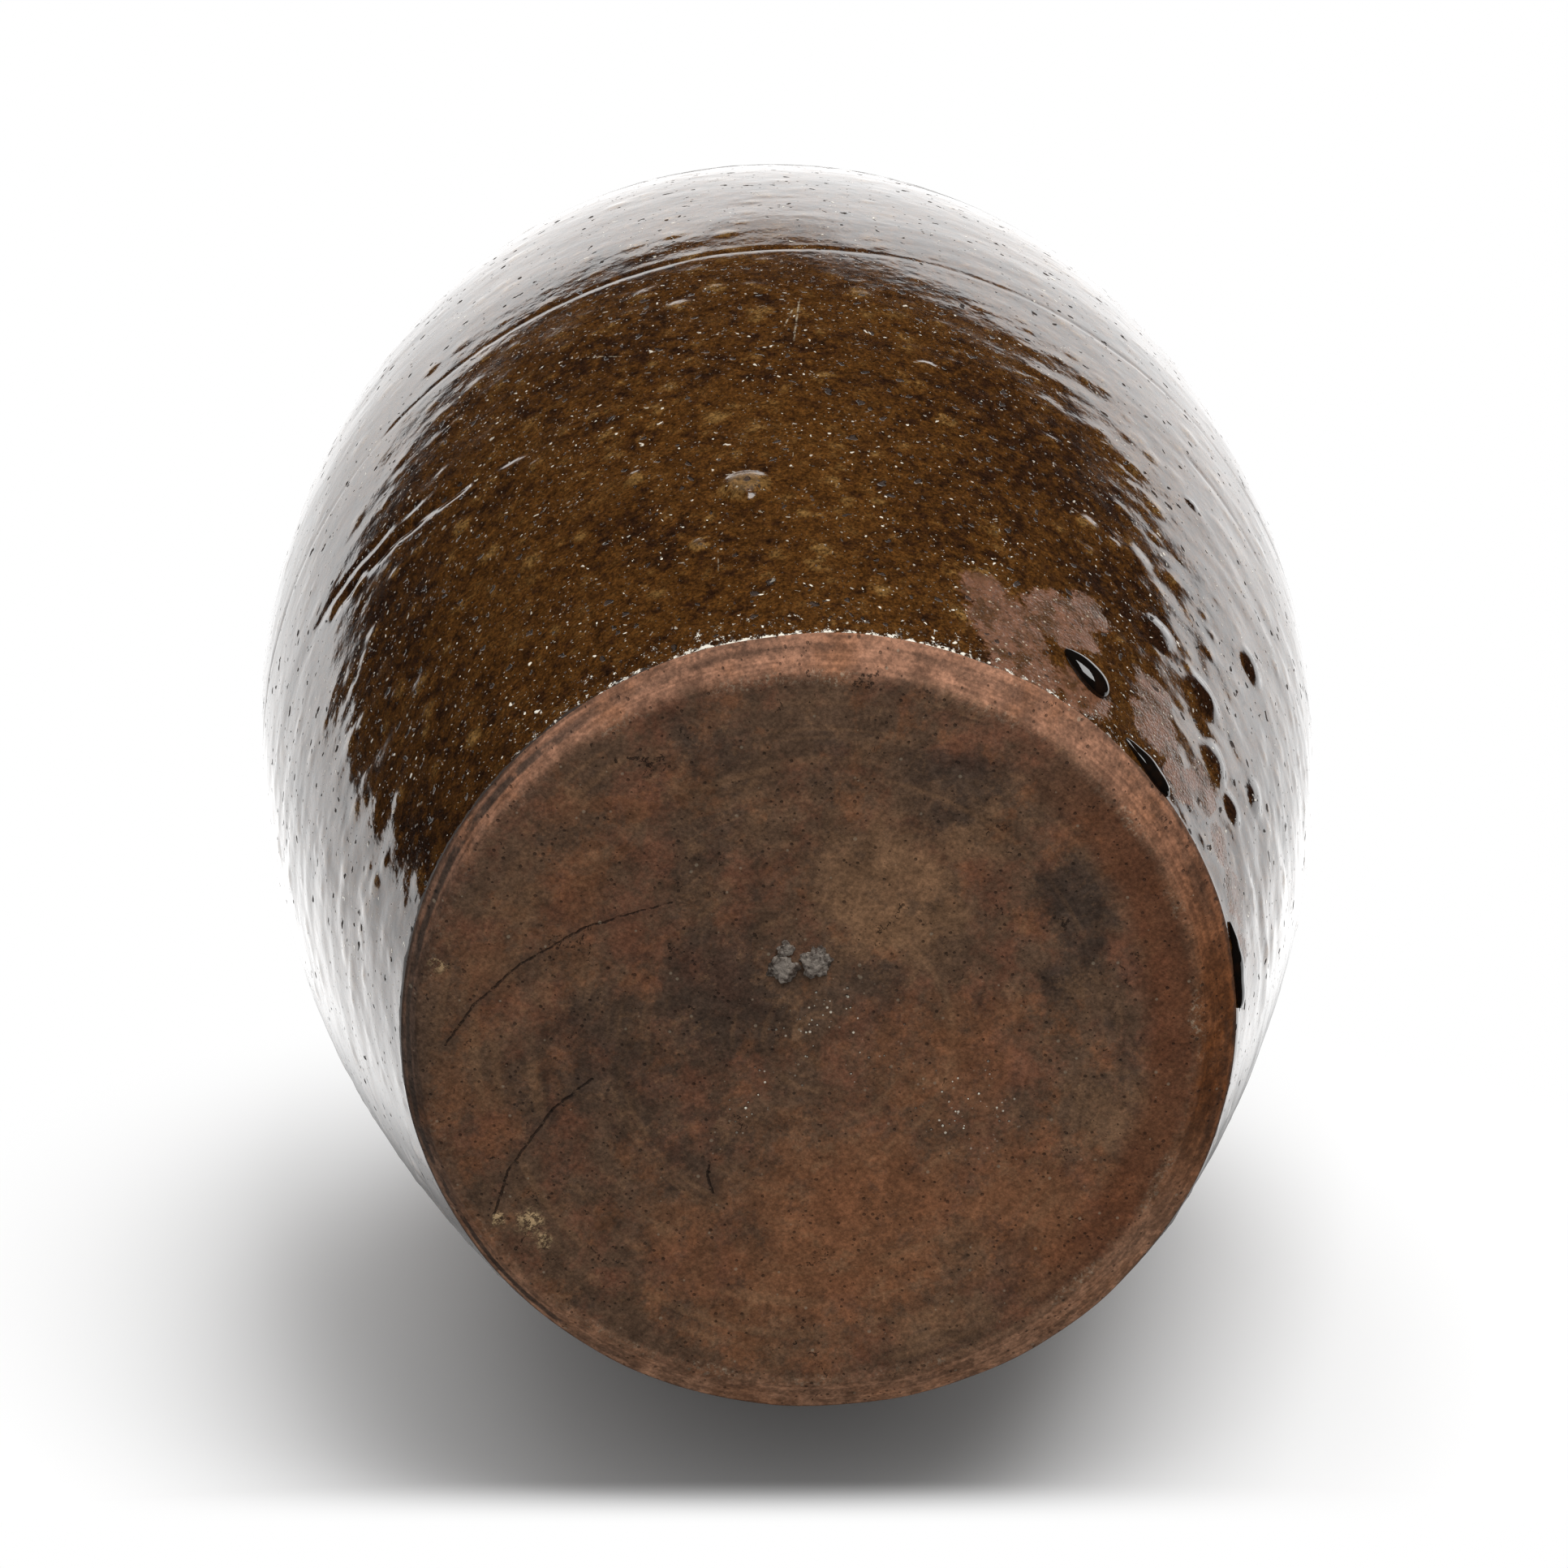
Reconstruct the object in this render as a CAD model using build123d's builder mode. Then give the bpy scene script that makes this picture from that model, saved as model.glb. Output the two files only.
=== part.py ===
from build123d import *
import math
import os

os.makedirs("parts", exist_ok=True)

# Martaban storage jar in stoneware, standing upright: +Z runs from the foot to the mouth,
# and the origin is the centre of the face that it stands on. All lengths are in millimetres.

# Driving sizes of the outline
belly_radius = 130.0
belly_height = 201.5
foot_radius = 88.0
foot_edge_height = 5.2
shoulder_height = 162.5
neck_radius = 54.0
neck_height = 12.5
rim_height = 15.5
rim_overhang = 9.0

# How full the two curves of the outline are: powers, not lengths
lower_curve_share = 1.60
shoulder_rise_share = 2.20
shoulder_round_share = 2.52

# Walls
wall_at_foot = 9.5
wall_at_belly = 7.0
wall_at_neck = 6.5
neck_wall = 8.0
slab_thickness = 12.0

# Foot: a bevelled edge, a ring that stands on the ground and a hollowed middle
foot_bevel_width = 8.0
ring_width = 8.0
dish_depth = 2.0

# Luted seams slope up towards the inside, so each section sits in the one below it
seam_rise = 4.0
lower_seam_share = 0.576
middle_seam_share = 0.844
upper_seam_share = 0.37
neck_seam_share = 0.96
corner_coil_size = 9.0
coil_hollow_share = 0.36
lip_rounding = 4.0

# Cord lugs on the shoulder
lug_count = 4
lug_place_share = 0.865
lug_span = 24.0
lug_stand = 10.4
strap_width = 12.0
strap_thickness = 6.0
strap_root = 3.5
pad_radius = 7.5
pad_thickness = 6.0

# Thick drops of glaze just above the foot. Each row is the share of a full turn, the share of
# the belly height, the shares of the drop width and drop length, and the share of a full turn
# that the drop leans over
drop_width = 8.0
drop_length = 13.5
drop_rows_shares = (
    (-0.0225, 0.0993, 1.00, 1.00, 0.167),
    (0.0133, 0.0427, 0.66, 1.15, 0.219),
    (0.1014, 0.0397, 0.62, 1.45, 0.242),
)
drop_sink_share = 0.22

# Grit from the kiln shelf, stuck in the hollow under the base: where its patch lies, as shares of
# the ring's inner radius, and rows of shares of the grit's radius: across, along and size
grit_radius = 3.4
grit_stand = 1.1
grit_place_shares = (0.115, -0.195)
grit_rows_shares = ((0.70, 0.45, 1.00), (-0.85, -0.62, 0.78), (0.18, -1.55, 0.50))

# Worked out from the sizes above
neck_root = belly_height + shoulder_height
neck_top = neck_root + neck_height
jar_height = neck_top + rim_height
mouth_radius = neck_radius - neck_wall
ring_radius = foot_radius - foot_bevel_width
ring_inner_radius = ring_radius - ring_width
base_seam = slab_thickness - seam_rise
lower_seam = belly_height * lower_seam_share
middle_seam = belly_height * middle_seam_share
upper_seam = belly_height + shoulder_height * upper_seam_share
neck_seam = belly_height + shoulder_height * neck_seam_share


def wall_radius(height):
    """Outside radius of the jar at a height, up to the root of the neck."""
    if height < belly_height:
        drop = (belly_height - height) / (belly_height - foot_edge_height)
        return belly_radius - (belly_radius - foot_radius) * drop**lower_curve_share
    climb = (height - belly_height) / shoulder_height
    across = (1 - climb**shoulder_rise_share) ** (1 / shoulder_round_share)
    return neck_radius + (belly_radius - neck_radius) * across


def wall_slope(height):
    """How fast the radius grows with the height."""
    if height < belly_height:
        drop = (belly_height - height) / (belly_height - foot_edge_height)
        steepness = lower_curve_share * drop ** (lower_curve_share - 1)
        return steepness * (belly_radius - foot_radius) / (belly_height - foot_edge_height)
    climb = (height - belly_height) / shoulder_height
    rise = climb**shoulder_rise_share
    steepness = (1 - rise) ** (1 / shoulder_round_share - 1) / shoulder_round_share
    steepness = steepness * shoulder_rise_share * climb ** (shoulder_rise_share - 1)
    return -steepness * (belly_radius - neck_radius) / shoulder_height


def wall_thickness(height):
    """Wall thickness, which thins from the foot to the belly and on to the neck."""
    if height < belly_height:
        return wall_at_foot + (wall_at_belly - wall_at_foot) * height / belly_height
    climb = (height - belly_height) / shoulder_height
    return wall_at_belly + (wall_at_neck - wall_at_belly) * climb


def outer_point(height):
    return (wall_radius(height), height)


def outward(height):
    """Unit vector square to the wall, pointing out of the jar, as radius and height."""
    length = math.hypot(1, wall_slope(height))
    return (1 / length, -wall_slope(height) / length)


def upward(height):
    """Unit vector along the wall, pointing to the neck, as radius and height."""
    across, along = outward(height)
    return (-along, across)


def inner_point(height):
    """Point inside the wall: level with the outer one below the belly, square to it above."""
    across, along = outward(height)
    if height < belly_height:
        return (wall_radius(height) - wall_thickness(height) / across, height)
    reach = wall_thickness(height)
    return (wall_radius(height) - reach * across, height - reach * along)


def steps_between(low, high, count=6):
    return [low + (high - low) * step / count for step in range(count + 1)]


def outer_curve(low, high):
    points = [outer_point(height) for height in steps_between(low, high)]
    return Spline(points, tangents=[upward(low), upward(high)])


def inner_curve(low, high):
    points = [inner_point(height) for height in steps_between(low, high)]
    return Spline(points)


def wall_section(low, high, top_rise):
    """A thrown ring of wall between two seams, each sloping up towards the inside."""
    with BuildPart() as section:
        with BuildSketch(Plane.XZ):
            with BuildLine():
                outside = outer_curve(low, high)
                inside = inner_curve(low + seam_rise, high + top_rise)
                Line(outside @ 1, inside @ 1)
                Line(inside @ 0, outside @ 0)
            make_face()
        revolve(axis=Axis.Z)
    return section


def flat_lump(place, radius, half_thickness):
    """A flattened ball: as wide as the radius across its plane, thin the other way."""
    with BuildPart() as lump:
        with BuildSketch(place):
            Ellipse(radius, half_thickness)
            split(bisect_by=Plane.YZ)
        revolve(axis=Axis(place.origin, place.y_dir))
    return lump


def long_drop(place, half_width, half_length):
    """A drop of revolution, long way up its plane and fuller at its lower end."""
    with BuildPart() as lump:
        with BuildSketch(place):
            with BuildLine():
                Spline(
                    (0, -half_length),
                    (half_width, -half_length + half_width),
                    (half_width / 2, half_length / 2),
                    (0, half_length),
                    tangents=[(1, 0), (-1, 1)],
                )
                Line((0, half_length), (0, -half_length))
            make_face()
        revolve(axis=Axis(place.origin, place.y_dir))
    return lump


def save(piece, name):
    piece.part.label = name
    export_step(piece.part, f"parts/{name}.step")


# Base slab: a flat clay disc, bevelled at its edge to take the wall
with BuildPart() as base_slab:
    with BuildSketch(Plane.XZ):
        with BuildLine():
            ThreePointArc(
                (-ring_inner_radius, 0), (0, dish_depth), (ring_inner_radius, 0)
            )
            Polyline(
                (ring_inner_radius, 0),
                (ring_radius, 0),
                (foot_radius, foot_edge_height),
                outer_point(base_seam),
                inner_point(slab_thickness),
                (-inner_point(slab_thickness)[0], slab_thickness),
                (-wall_radius(base_seam), base_seam),
                (-foot_radius, foot_edge_height),
                (-ring_radius, 0),
                (-ring_inner_radius, 0),
            )
        make_face()
        split(bisect_by=Plane.YZ)
    revolve(axis=Axis.Z)
save(base_slab, "base_slab")

# The wall, in four thrown sections luted one on another
lower_wall = wall_section(base_seam, lower_seam, seam_rise)
middle_wall = wall_section(lower_seam, middle_seam, seam_rise)
belly_wall = wall_section(middle_seam, upper_seam, seam_rise)
shoulder_wall = wall_section(upper_seam, neck_seam, 0)
save(lower_wall, "lower_wall")
save(middle_wall, "middle_wall")
save(belly_wall, "belly_wall")
save(shoulder_wall, "shoulder_wall")

# Corner coil: a roll of clay pressed into the corner between the slab and the wall
corner = Vector(*inner_point(slab_thickness))
coil_top = Vector(*inner_point(slab_thickness + corner_coil_size))
coil_foot = corner - Vector(corner_coil_size, 0)
into_wall = Vector(wall_thickness(slab_thickness) / 2, 0)
coil_hollow = (coil_top + coil_foot) / 2 * (1 - coil_hollow_share) + corner * coil_hollow_share
with BuildPart() as corner_coil:
    with BuildSketch(Plane.XZ):
        with BuildLine():
            Polyline(coil_foot, corner + into_wall, coil_top + into_wall, coil_top)
            ThreePointArc(coil_top, coil_hollow, coil_foot)
        make_face()
    revolve(axis=Axis.Z)
    add(lower_wall.part, mode=Mode.SUBTRACT)
save(corner_coil, "corner_coil")

# Neck collar: sweeps in from the shoulder and turns up to the mouth
with BuildPart() as neck_collar:
    with BuildSketch(Plane.XZ):
        with BuildLine():
            neck_outside = Spline(
                [outer_point(neck_seam), (neck_radius, neck_root + neck_height / 2)],
                tangents=[upward(neck_seam), (0, 1)],
            )
            neck_inside = Spline(
                [inner_point(neck_seam), (mouth_radius, neck_root)],
                tangents=[upward(neck_seam), (0, 1)],
            )
            Polyline(
                neck_outside @ 1,
                (neck_radius, neck_top),
                (mouth_radius, neck_top + seam_rise),
                neck_inside @ 1,
            )
            Line(neck_inside @ 0, neck_outside @ 0)
        make_face()
    revolve(axis=Axis.Z)
save(neck_collar, "neck_collar")

# Rolled rim: a bead turned out over the neck, flush with it inside the mouth
with BuildPart() as rolled_rim:
    with BuildSketch(Plane.XZ):
        with BuildLine():
            EllipticalCenterArc(
                (neck_radius, neck_top + rim_height / 2),
                rim_overhang,
                rim_height / 2,
                start_angle=-90,
                arc_size=180,
            )
            Polyline(
                (neck_radius, jar_height),
                (mouth_radius, jar_height),
                (mouth_radius, neck_top + seam_rise),
                (neck_radius, neck_top),
            )
        make_face()
        fillet(vertices().group_by(Axis.Y)[-1].sort_by(Axis.X)[0], lip_rounding)
    revolve(axis=Axis.Z)
save(rolled_rim, "rolled_rim")

# What the lugs and the drops sit on: the jar as if it were solid, from the same curves
with BuildPart() as shoulder_core:
    with BuildSketch(Plane.XZ):
        with BuildLine():
            core_curve = outer_curve(upper_seam, neck_seam)
            Polyline(core_curve @ 1, (0, neck_seam), (0, upper_seam), core_curve @ 0)
        make_face()
    revolve(axis=Axis.Z)

with BuildPart() as foot_core:
    with BuildSketch(Plane.XZ):
        with BuildLine():
            foot_curve = outer_curve(base_seam, lower_seam)
            Polyline(
                foot_curve @ 1,
                (0, lower_seam),
                (0, 0),
                (ring_radius, 0),
                (foot_radius, foot_edge_height),
                foot_curve @ 0,
            )
        make_face()
    revolve(axis=Axis.Z)

# Cord lugs: an arched strap with its two ends pressed onto the shoulder as pads
lug_height = belly_height + shoulder_height * lug_place_share
half_climb = lug_span / 2 * upward(lug_height)[1]


def on_shoulder(height, stand):
    """Place on the shoulder at the first lug, standing off its face by so much."""
    across, along = outward(height)
    return Vector(wall_radius(height) + stand * across, 0, height + stand * along)


def pad_plane(height):
    across, along = upward(height)
    return Plane(on_shoulder(height, 0), x_dir=(0, 1, 0), z_dir=(across, 0, along))


lug_ends = (lug_height - half_climb, lug_height + half_climb)
pads = [flat_lump(pad_plane(height), pad_radius, pad_thickness / 2) for height in lug_ends]
with BuildPart() as lug_form:
    with BuildLine() as arch:
        ThreePointArc(
            on_shoulder(lug_ends[0], -strap_root),
            on_shoulder(lug_height, lug_stand),
            on_shoulder(lug_ends[1], -strap_root),
        )
    with BuildSketch(Plane(arch.line @ 0, x_dir=(0, 1, 0), z_dir=arch.line % 0)):
        Ellipse(strap_width / 2, strap_thickness / 2)
    sweep(path=arch.line)
    for pad in pads:
        add(pad.part)
    add(shoulder_core.part, mode=Mode.SUBTRACT)

for number in range(lug_count):
    with BuildPart() as lug:
        with Locations(Rotation(0, 0, 360 * number / lug_count)):
            add(lug_form.part)
    save(lug, f"lug_{number + 1}")

# Glaze drops: thick runs that stopped just above the foot
drop_forms = []
for turn_share, height_share, width_share, length_share, lean_share in drop_rows_shares:
    drop_height = belly_height * height_share
    turn = 2 * math.pi * turn_share
    across, along = outward(drop_height)
    out_dir = Vector(across * math.cos(turn), across * math.sin(turn), along)
    side_dir = Vector(math.sin(turn), -math.cos(turn), 0)
    radius = wall_radius(drop_height)
    on_wall = Vector(radius * math.cos(turn), radius * math.sin(turn), drop_height)
    sunk = on_wall - out_dir * drop_width * width_share * drop_sink_share
    lean = 2 * math.pi * lean_share
    lean_dir = side_dir * math.cos(lean) - side_dir.cross(out_dir) * math.sin(lean)
    drop_plane = Plane(origin=sunk, x_dir=out_dir, z_dir=lean_dir)
    drop_forms.append(
        long_drop(drop_plane, drop_width * width_share / 2, drop_length * length_share / 2)
    )
with BuildPart() as glaze_drops:
    for form in drop_forms:
        add(form.part)
    add(foot_core.part, mode=Mode.SUBTRACT)
save(glaze_drops, "glaze_drops")

# Kiln grit: a few flat crumbs stuck in the hollow of the base
grit_across = ring_inner_radius * grit_place_shares[0]
grit_along = ring_inner_radius * grit_place_shares[1]
with BuildPart() as kiln_grit:
    with BuildSketch(Plane.XY.offset(dish_depth - grit_stand)):
        for across_share, along_share, size_share in grit_rows_shares:
            crumb_across = grit_across + grit_radius * across_share
            with Locations((crumb_across, grit_along + grit_radius * along_share)):
                Circle(grit_radius * size_share)
    extrude(amount=grit_stand + slab_thickness / 2)
    chamfer(edges().group_by(Axis.Z)[0], grit_stand / 2)
    add(base_slab.part, mode=Mode.SUBTRACT)
save(kiln_grit, "kiln_grit")
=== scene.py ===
import math
import random

import bmesh
import bpy
from bpy.props import FloatProperty, FloatVectorProperty, IntProperty, PointerProperty
from mathutils import Matrix, Vector, noise


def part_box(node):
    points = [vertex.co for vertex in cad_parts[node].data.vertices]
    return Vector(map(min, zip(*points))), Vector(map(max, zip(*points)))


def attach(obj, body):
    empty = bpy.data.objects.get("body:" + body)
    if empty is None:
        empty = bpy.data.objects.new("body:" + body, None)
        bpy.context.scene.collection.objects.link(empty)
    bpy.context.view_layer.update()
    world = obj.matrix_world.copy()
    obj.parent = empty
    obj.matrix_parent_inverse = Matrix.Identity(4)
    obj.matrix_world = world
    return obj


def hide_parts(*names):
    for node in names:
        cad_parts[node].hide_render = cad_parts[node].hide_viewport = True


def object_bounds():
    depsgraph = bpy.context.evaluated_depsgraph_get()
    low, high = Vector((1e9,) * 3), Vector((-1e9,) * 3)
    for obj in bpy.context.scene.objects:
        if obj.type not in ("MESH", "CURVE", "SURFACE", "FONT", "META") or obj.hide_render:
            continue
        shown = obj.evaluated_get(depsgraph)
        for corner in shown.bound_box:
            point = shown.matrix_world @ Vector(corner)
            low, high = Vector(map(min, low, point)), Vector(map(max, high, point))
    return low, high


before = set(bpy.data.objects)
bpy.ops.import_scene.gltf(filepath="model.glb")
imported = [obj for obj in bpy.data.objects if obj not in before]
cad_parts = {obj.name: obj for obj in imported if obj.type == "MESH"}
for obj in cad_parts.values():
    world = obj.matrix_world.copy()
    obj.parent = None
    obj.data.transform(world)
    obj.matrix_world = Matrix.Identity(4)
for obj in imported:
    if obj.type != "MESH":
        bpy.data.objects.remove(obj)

bl_info = {
    "name": "Martaban Jar",
    "version": (1, 0, 0),
    "blender": (4, 5, 0),
    "location": "3D View > Sidebar > Martaban Jar",
    "description": "Dresses a packed stoneware storage jar in its brown glaze and bare clay",
    "category": "Add Mesh",
}

cad_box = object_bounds()
jar_height = cad_box[1].z
mm = 0.001

# How full the two curves of the outline are: powers, not lengths
lower_curve_share = 1.60
shoulder_rise_share = 2.20
shoulder_round_share = 2.52

# Places on the outside wall are (degrees round from +X, height in mm)
# Blisters under the glaze: place, then width and stand in mm, then how pale the thin glaze on them is
blister_rows = (
    (-52.7, 59.4, 12.6, 1.80, 1.25),
    (-65.0, 72.7, 6.4, 0.70, 0.5),
    (-31.3, 114.3, 5.4, 0.70, 0.5),
    (-76.2, 96.4, 5.0, 0.50, 0.4),
    (-59.1, 41.5, 5.6, 0.60, 0.9),
    (-47.0, 98.0, 4.4, 0.40, 0.4),
    (-40.5, 52.0, 5.4, 0.50, 0.5),
    (10.9, 52.0, 13.0, 1.30, -0.7),
    (16.0, 38.0, 12.0, 1.25, -0.7),
    (22.0, 35.0, 9.0, 0.90, -0.7),
    (17.5, 89.4, 11.0, 1.00, -0.7),
    (1.4, 55.0, 11.0, 0.90, -0.7),
    (3.4, 122.6, 5.0, 0.45, -0.7),
    (25.5, 52.0, 11.0, 0.90, -0.7),
    (-3.5, 75.0, 9.0, 0.50, 0.0),
)

# Soft lumps scattered over the wall: how finely, and how readily a place has one
lump_rows = ((100, 0.19), (165, 0.27))

# Scores in the clay that show as pale lines: the places of their two ends, then depth in mm
score_rows = (
    (-110, 123.0, -74, 103, 0.60),
    (-112, 130.5, -88, 118, 0.30),
    (-8, 150.0, 24, 142, 0.14),
)

# Rougher stretches of the glaze: place, reach in mm and how much lumpier they are
rough_rows = ((8, 52, 42, 2.2), (34, 50, 34, 1.2), (-125, 50, 50, 1.2))

# Thinly glazed patches near the foot: place and reach in mm
thin_glaze_rows = (
    (-24, 30, 9), (-20, 22, 14), (-13, 33, 13), (-17, 11, 13), (-8, 13, 11), (-9, 42, 8),
    (4.5, 23, 11), (3, 33, 9), (11, 17, 9), (15, 24, 9), (22, 19, 8), (29, 17, 9), (36, 14, 7),
)

# Scratches in the glaze: the places of their two ends
scratch_rows = (
    (-44.5, 143, -45.6, 120),
    (-45.2, 138, -46.4, 128),
    (-68.0, 134, -64.5, 128),
    (-57.0, 38, -57.4, 28),
)

# Clouds in the clay under the base: across, along and reach in mm, then how strongly they show
charcoal_rows = (
    (-8, -20, 27, 0.68), (-32, -30, 30, 0.50), (-50, -30, 22, 0.40), (-38, -4, 20, 0.45),
    (60, 15.5, 12, 0.85), (51.5, 25, 11, 0.80), (60.5, -19, 13, 0.70), (29, -64, 13, 0.50),
    (44, 54, 20, 0.40), (-8, 66, 14, 0.45), (14, 0, 16, 0.45), (20, -48, 15, 0.45),
)
tan_rows = (
    (35, -14, 24, 0.85), (55, -8, 12, 0.55), (27, -38, 16, 0.35), (38, 60, 17, 0.60),
    (-12, 60, 12, 0.35),
)
orange_rows = (
    (-26, 36, 42, 0.75), (-50, 34, 30, 0.60), (-52, 18, 24, 0.50), (0, 58, 26, 0.70),
    (18, 70, 16, 0.60), (15, 22, 26, 0.55), (-16, -60, 20, 0.40), (-62, -44, 16, 0.50),
    (-40, -62, 16, 0.40), (2, -76, 12, 0.40),
)

# Cream crumbs baked onto the ring, and pale flecks under the base: the same four numbers
crumb_rows = (
    (-76.7, -20.3, 1.7, 1.0), (-72.3, -15.2, 4.0, 0.9), (-73.3, -10.0, 2.6, 0.7),
    (-43.5, -69.5, 2.2, 0.6),
)
fleck_rows = ((-20, 0, 10, 1.0), (11, 33, 14, 1.0), (2.7, 1.7, 17, 0.8))

# Drying cracks in the base: points across and along in mm
crack_lines = (
    ((-55.5, -56.0), (-44.5, -58.0), (-31.7, -57.4), (-16.4, -53.4), (0.1, -44.2)),
    ((-76.9, -21.3), (-67.0, -26.5), (-59.7, -27.9), (-50.0, -29.4), (-39.8, -28.2)),
    ((-36.5, 3.0), (-39.0, 5.2), (-40.8, 8.7)),
)

# Glaze drops: degrees round, height, width and length in mm, and how far they lean over in degrees
drop_rows = (
    (-8.1, 20.0, 8.0, 13.5, 60),
    (4.8, 8.6, 5.3, 15.5, 79),
    (36.5, 8.0, 5.0, 19.6, 87),
)

# Kiln crumbs: across and along as shares of half their box, and their size as a share of the largest
grit_rows = ((0.55, 0.30, 1.0), (-0.50, -0.30, 0.85), (0.12, -0.80, 0.45))

# What every random draw and noise starts from, so each run gives the same jar
seed = 11

# The backdrop that the glaze mirrors: right and up of straight ahead, reach in degrees, softness
# in degrees and brightness
glow_rows = (
    (0.070, -0.030, 44.5, 2.0, 1.66),
    (0.70, 0.42, 9.0, 5.0, 0.9),
)

# Where that backdrop is darker: the same, with the share of its brightness that is lost
shade_rows = (
    (-0.02, 0.84, 4.5, 3.0, 0.30),
    (-0.42, 0.20, 9.0, 12.0, 0.20),
)


def size(name, description, default):
    return FloatProperty(name=name, description=description, default=default, unit="LENGTH", precision=5)


def level(name, description, default):
    return FloatProperty(name=name, description=description, default=default)


def heading(name, description, default, subtype="DIRECTION"):
    return FloatVectorProperty(name=name, description=description, default=default, subtype=subtype)


def colour(name, description, *screen):
    """A colour as a screen shows it, each part from 0 to 255, kept as linear light."""
    parts = []
    for part in screen:
        share = part / 255
        parts.append(share / 12.92 if share < 0.04045 else ((share + 0.055) / 1.055) ** 2.4)
    return FloatVectorProperty(
        name=name, description=description, default=tuple(parts), subtype="COLOR", min=0, max=1
    )


class JarSizes(bpy.types.PropertyGroup):
    """Outline of the jar, from its foot to its lip."""

    belly_radius: size("Belly radius", "Outside radius at the widest place", cad_box[1].x)
    belly_height: size("Belly height", "Height of the widest place", 201.5 * mm)
    foot_radius: size("Foot radius", "Outside radius at the foot's upper edge", 88 * mm)
    foot_edge_height: size("Foot edge height", "Height of the foot's bevel", 5.2 * mm)
    ring_radius: size("Ring radius", "Outer radius of the ring it stands on", 80 * mm)
    ring_inner_radius: size("Ring inner radius", "Inner radius of that ring", 72 * mm)
    dish_depth: size("Dish depth", "How deep the base is hollowed", 2 * mm)
    slab_thickness: size("Slab thickness", "Thickness of the base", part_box("base_slab")[1].z)
    base_seam: size("Base seam", "Height where the wall starts outside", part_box("lower_wall")[0].z)
    seam_rise: size("Seam rise", "How far a seam climbs towards the inside", 4 * mm)
    shoulder_height: size("Shoulder height", "Height from the belly to the neck", 162.5 * mm)
    neck_radius: size("Neck radius", "Outside radius of the neck", 54 * mm)
    neck_height: size("Neck height", "Height of the upright neck", 12.5 * mm)
    neck_seam: size("Neck seam", "Height of the seam under the neck", 357.5 * mm)
    mouth_radius: size("Mouth radius", "Inside radius of the mouth", 46 * mm)
    rim_overhang: size("Rim overhang", "How far the rim stands out over the neck", 9 * mm)
    lip_rounding: size("Lip rounding", "Radius of the lip's inner edge", 4 * mm)
    coil_size: size("Corner coil", "Size of the clay roll inside the corner", 9 * mm)
    wall_at_foot: size("Wall at the foot", "Wall thickness at the foot", 9.5 * mm)
    wall_at_belly: size("Wall at the belly", "Wall thickness at the belly", 7 * mm)
    wall_at_neck: size("Wall at the neck", "Wall thickness under the neck", 6.5 * mm)
    lug_height: size("Lug height", "Height of the middle of a lug", 342.06 * mm)
    lug_span: size("Lug span", "Distance between a lug's two ends", 24 * mm)
    lug_stand: size("Lug stand", "How far the strap's middle stands off the wall", 10.4 * mm)
    strap_width: size("Strap width", "Width of a lug's strap", 12 * mm)
    strap_thickness: size("Strap thickness", "Thickness of a lug's strap", 6 * mm)
    pad_radius: size("Pad radius", "Radius of the pressed ends of a lug", 7.5 * mm)
    pad_height: size("Pad height", "How far those ends stand off the wall", 3 * mm)
    lug_depth: size("Lug depth", "How far the strap runs into the wall", 3.5 * mm)


class JarSurface(bpy.types.PropertyGroup):
    """How uneven the hand-thrown faces are, and how finely the pieces are meshed."""

    columns: IntProperty(name="Columns", description="Faces once round the jar", default=512, min=64)
    row_step: size("Row step", "Height of a row of faces outside", 0.95 * mm)
    inner_row_step: size("Inner row step", "Height of a row of faces inside", 5 * mm)
    sway: size("Sway", "How far the outline wanders over a hand's breadth", 0.45 * mm)
    ridge_height: size("Ridge height", "Height of the throwing ridges", 0.09 * mm)
    lump_height: size("Lump height", "Height of the unevenness in the glaze", 0.10 * mm)
    drawn_height: size("Drawn height", "Height of the lumps that are drawn out round the jar", 0.15 * mm)
    swell_height: size("Swell height", "Height of the soft round lumps", 0.60 * mm)
    grain_height: size("Grain height", "Height of the fine unevenness", 0.025 * mm)
    groove_height: size("Groove height", "Height of the groove below the belly", 174 * mm)
    groove_wave: size("Groove wave", "How far that groove climbs and falls", 4.5 * mm)
    groove_depth: size("Groove depth", "Depth of that groove", 0.24 * mm)
    groove_width: size("Groove width", "Half the width of that groove", 1.0 * mm)
    belly_clearance: size("Belly clearance", "How far the belly is drawn in under its relief", 0.95 * mm)
    ring_spread: size("Ring spread", "How far the standing ring is spread on its flattest side", 4.4 * mm)
    inner_ring_height: size("Inner rings", "Height of the throwing rings inside", 0.3 * mm)
    clay_sway: size("Clay sway", "Unevenness of the bare base", 0.22 * mm)
    turning_height: size("Turning height", "Height of the turning marks under the base", 0.05 * mm)
    pock_depth: size("Pock depth", "Depth of the pocks under the base", 0.30 * mm)
    crack_depth: size("Crack depth", "Depth of the drying cracks", 0.20 * mm)
    crack_width: size("Crack width", "Half the width of those cracks", 0.50 * mm)
    lug_grain: size("Lug grain", "Width of the grains that a lug is pressed together from", 0.6 * mm)


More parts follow.
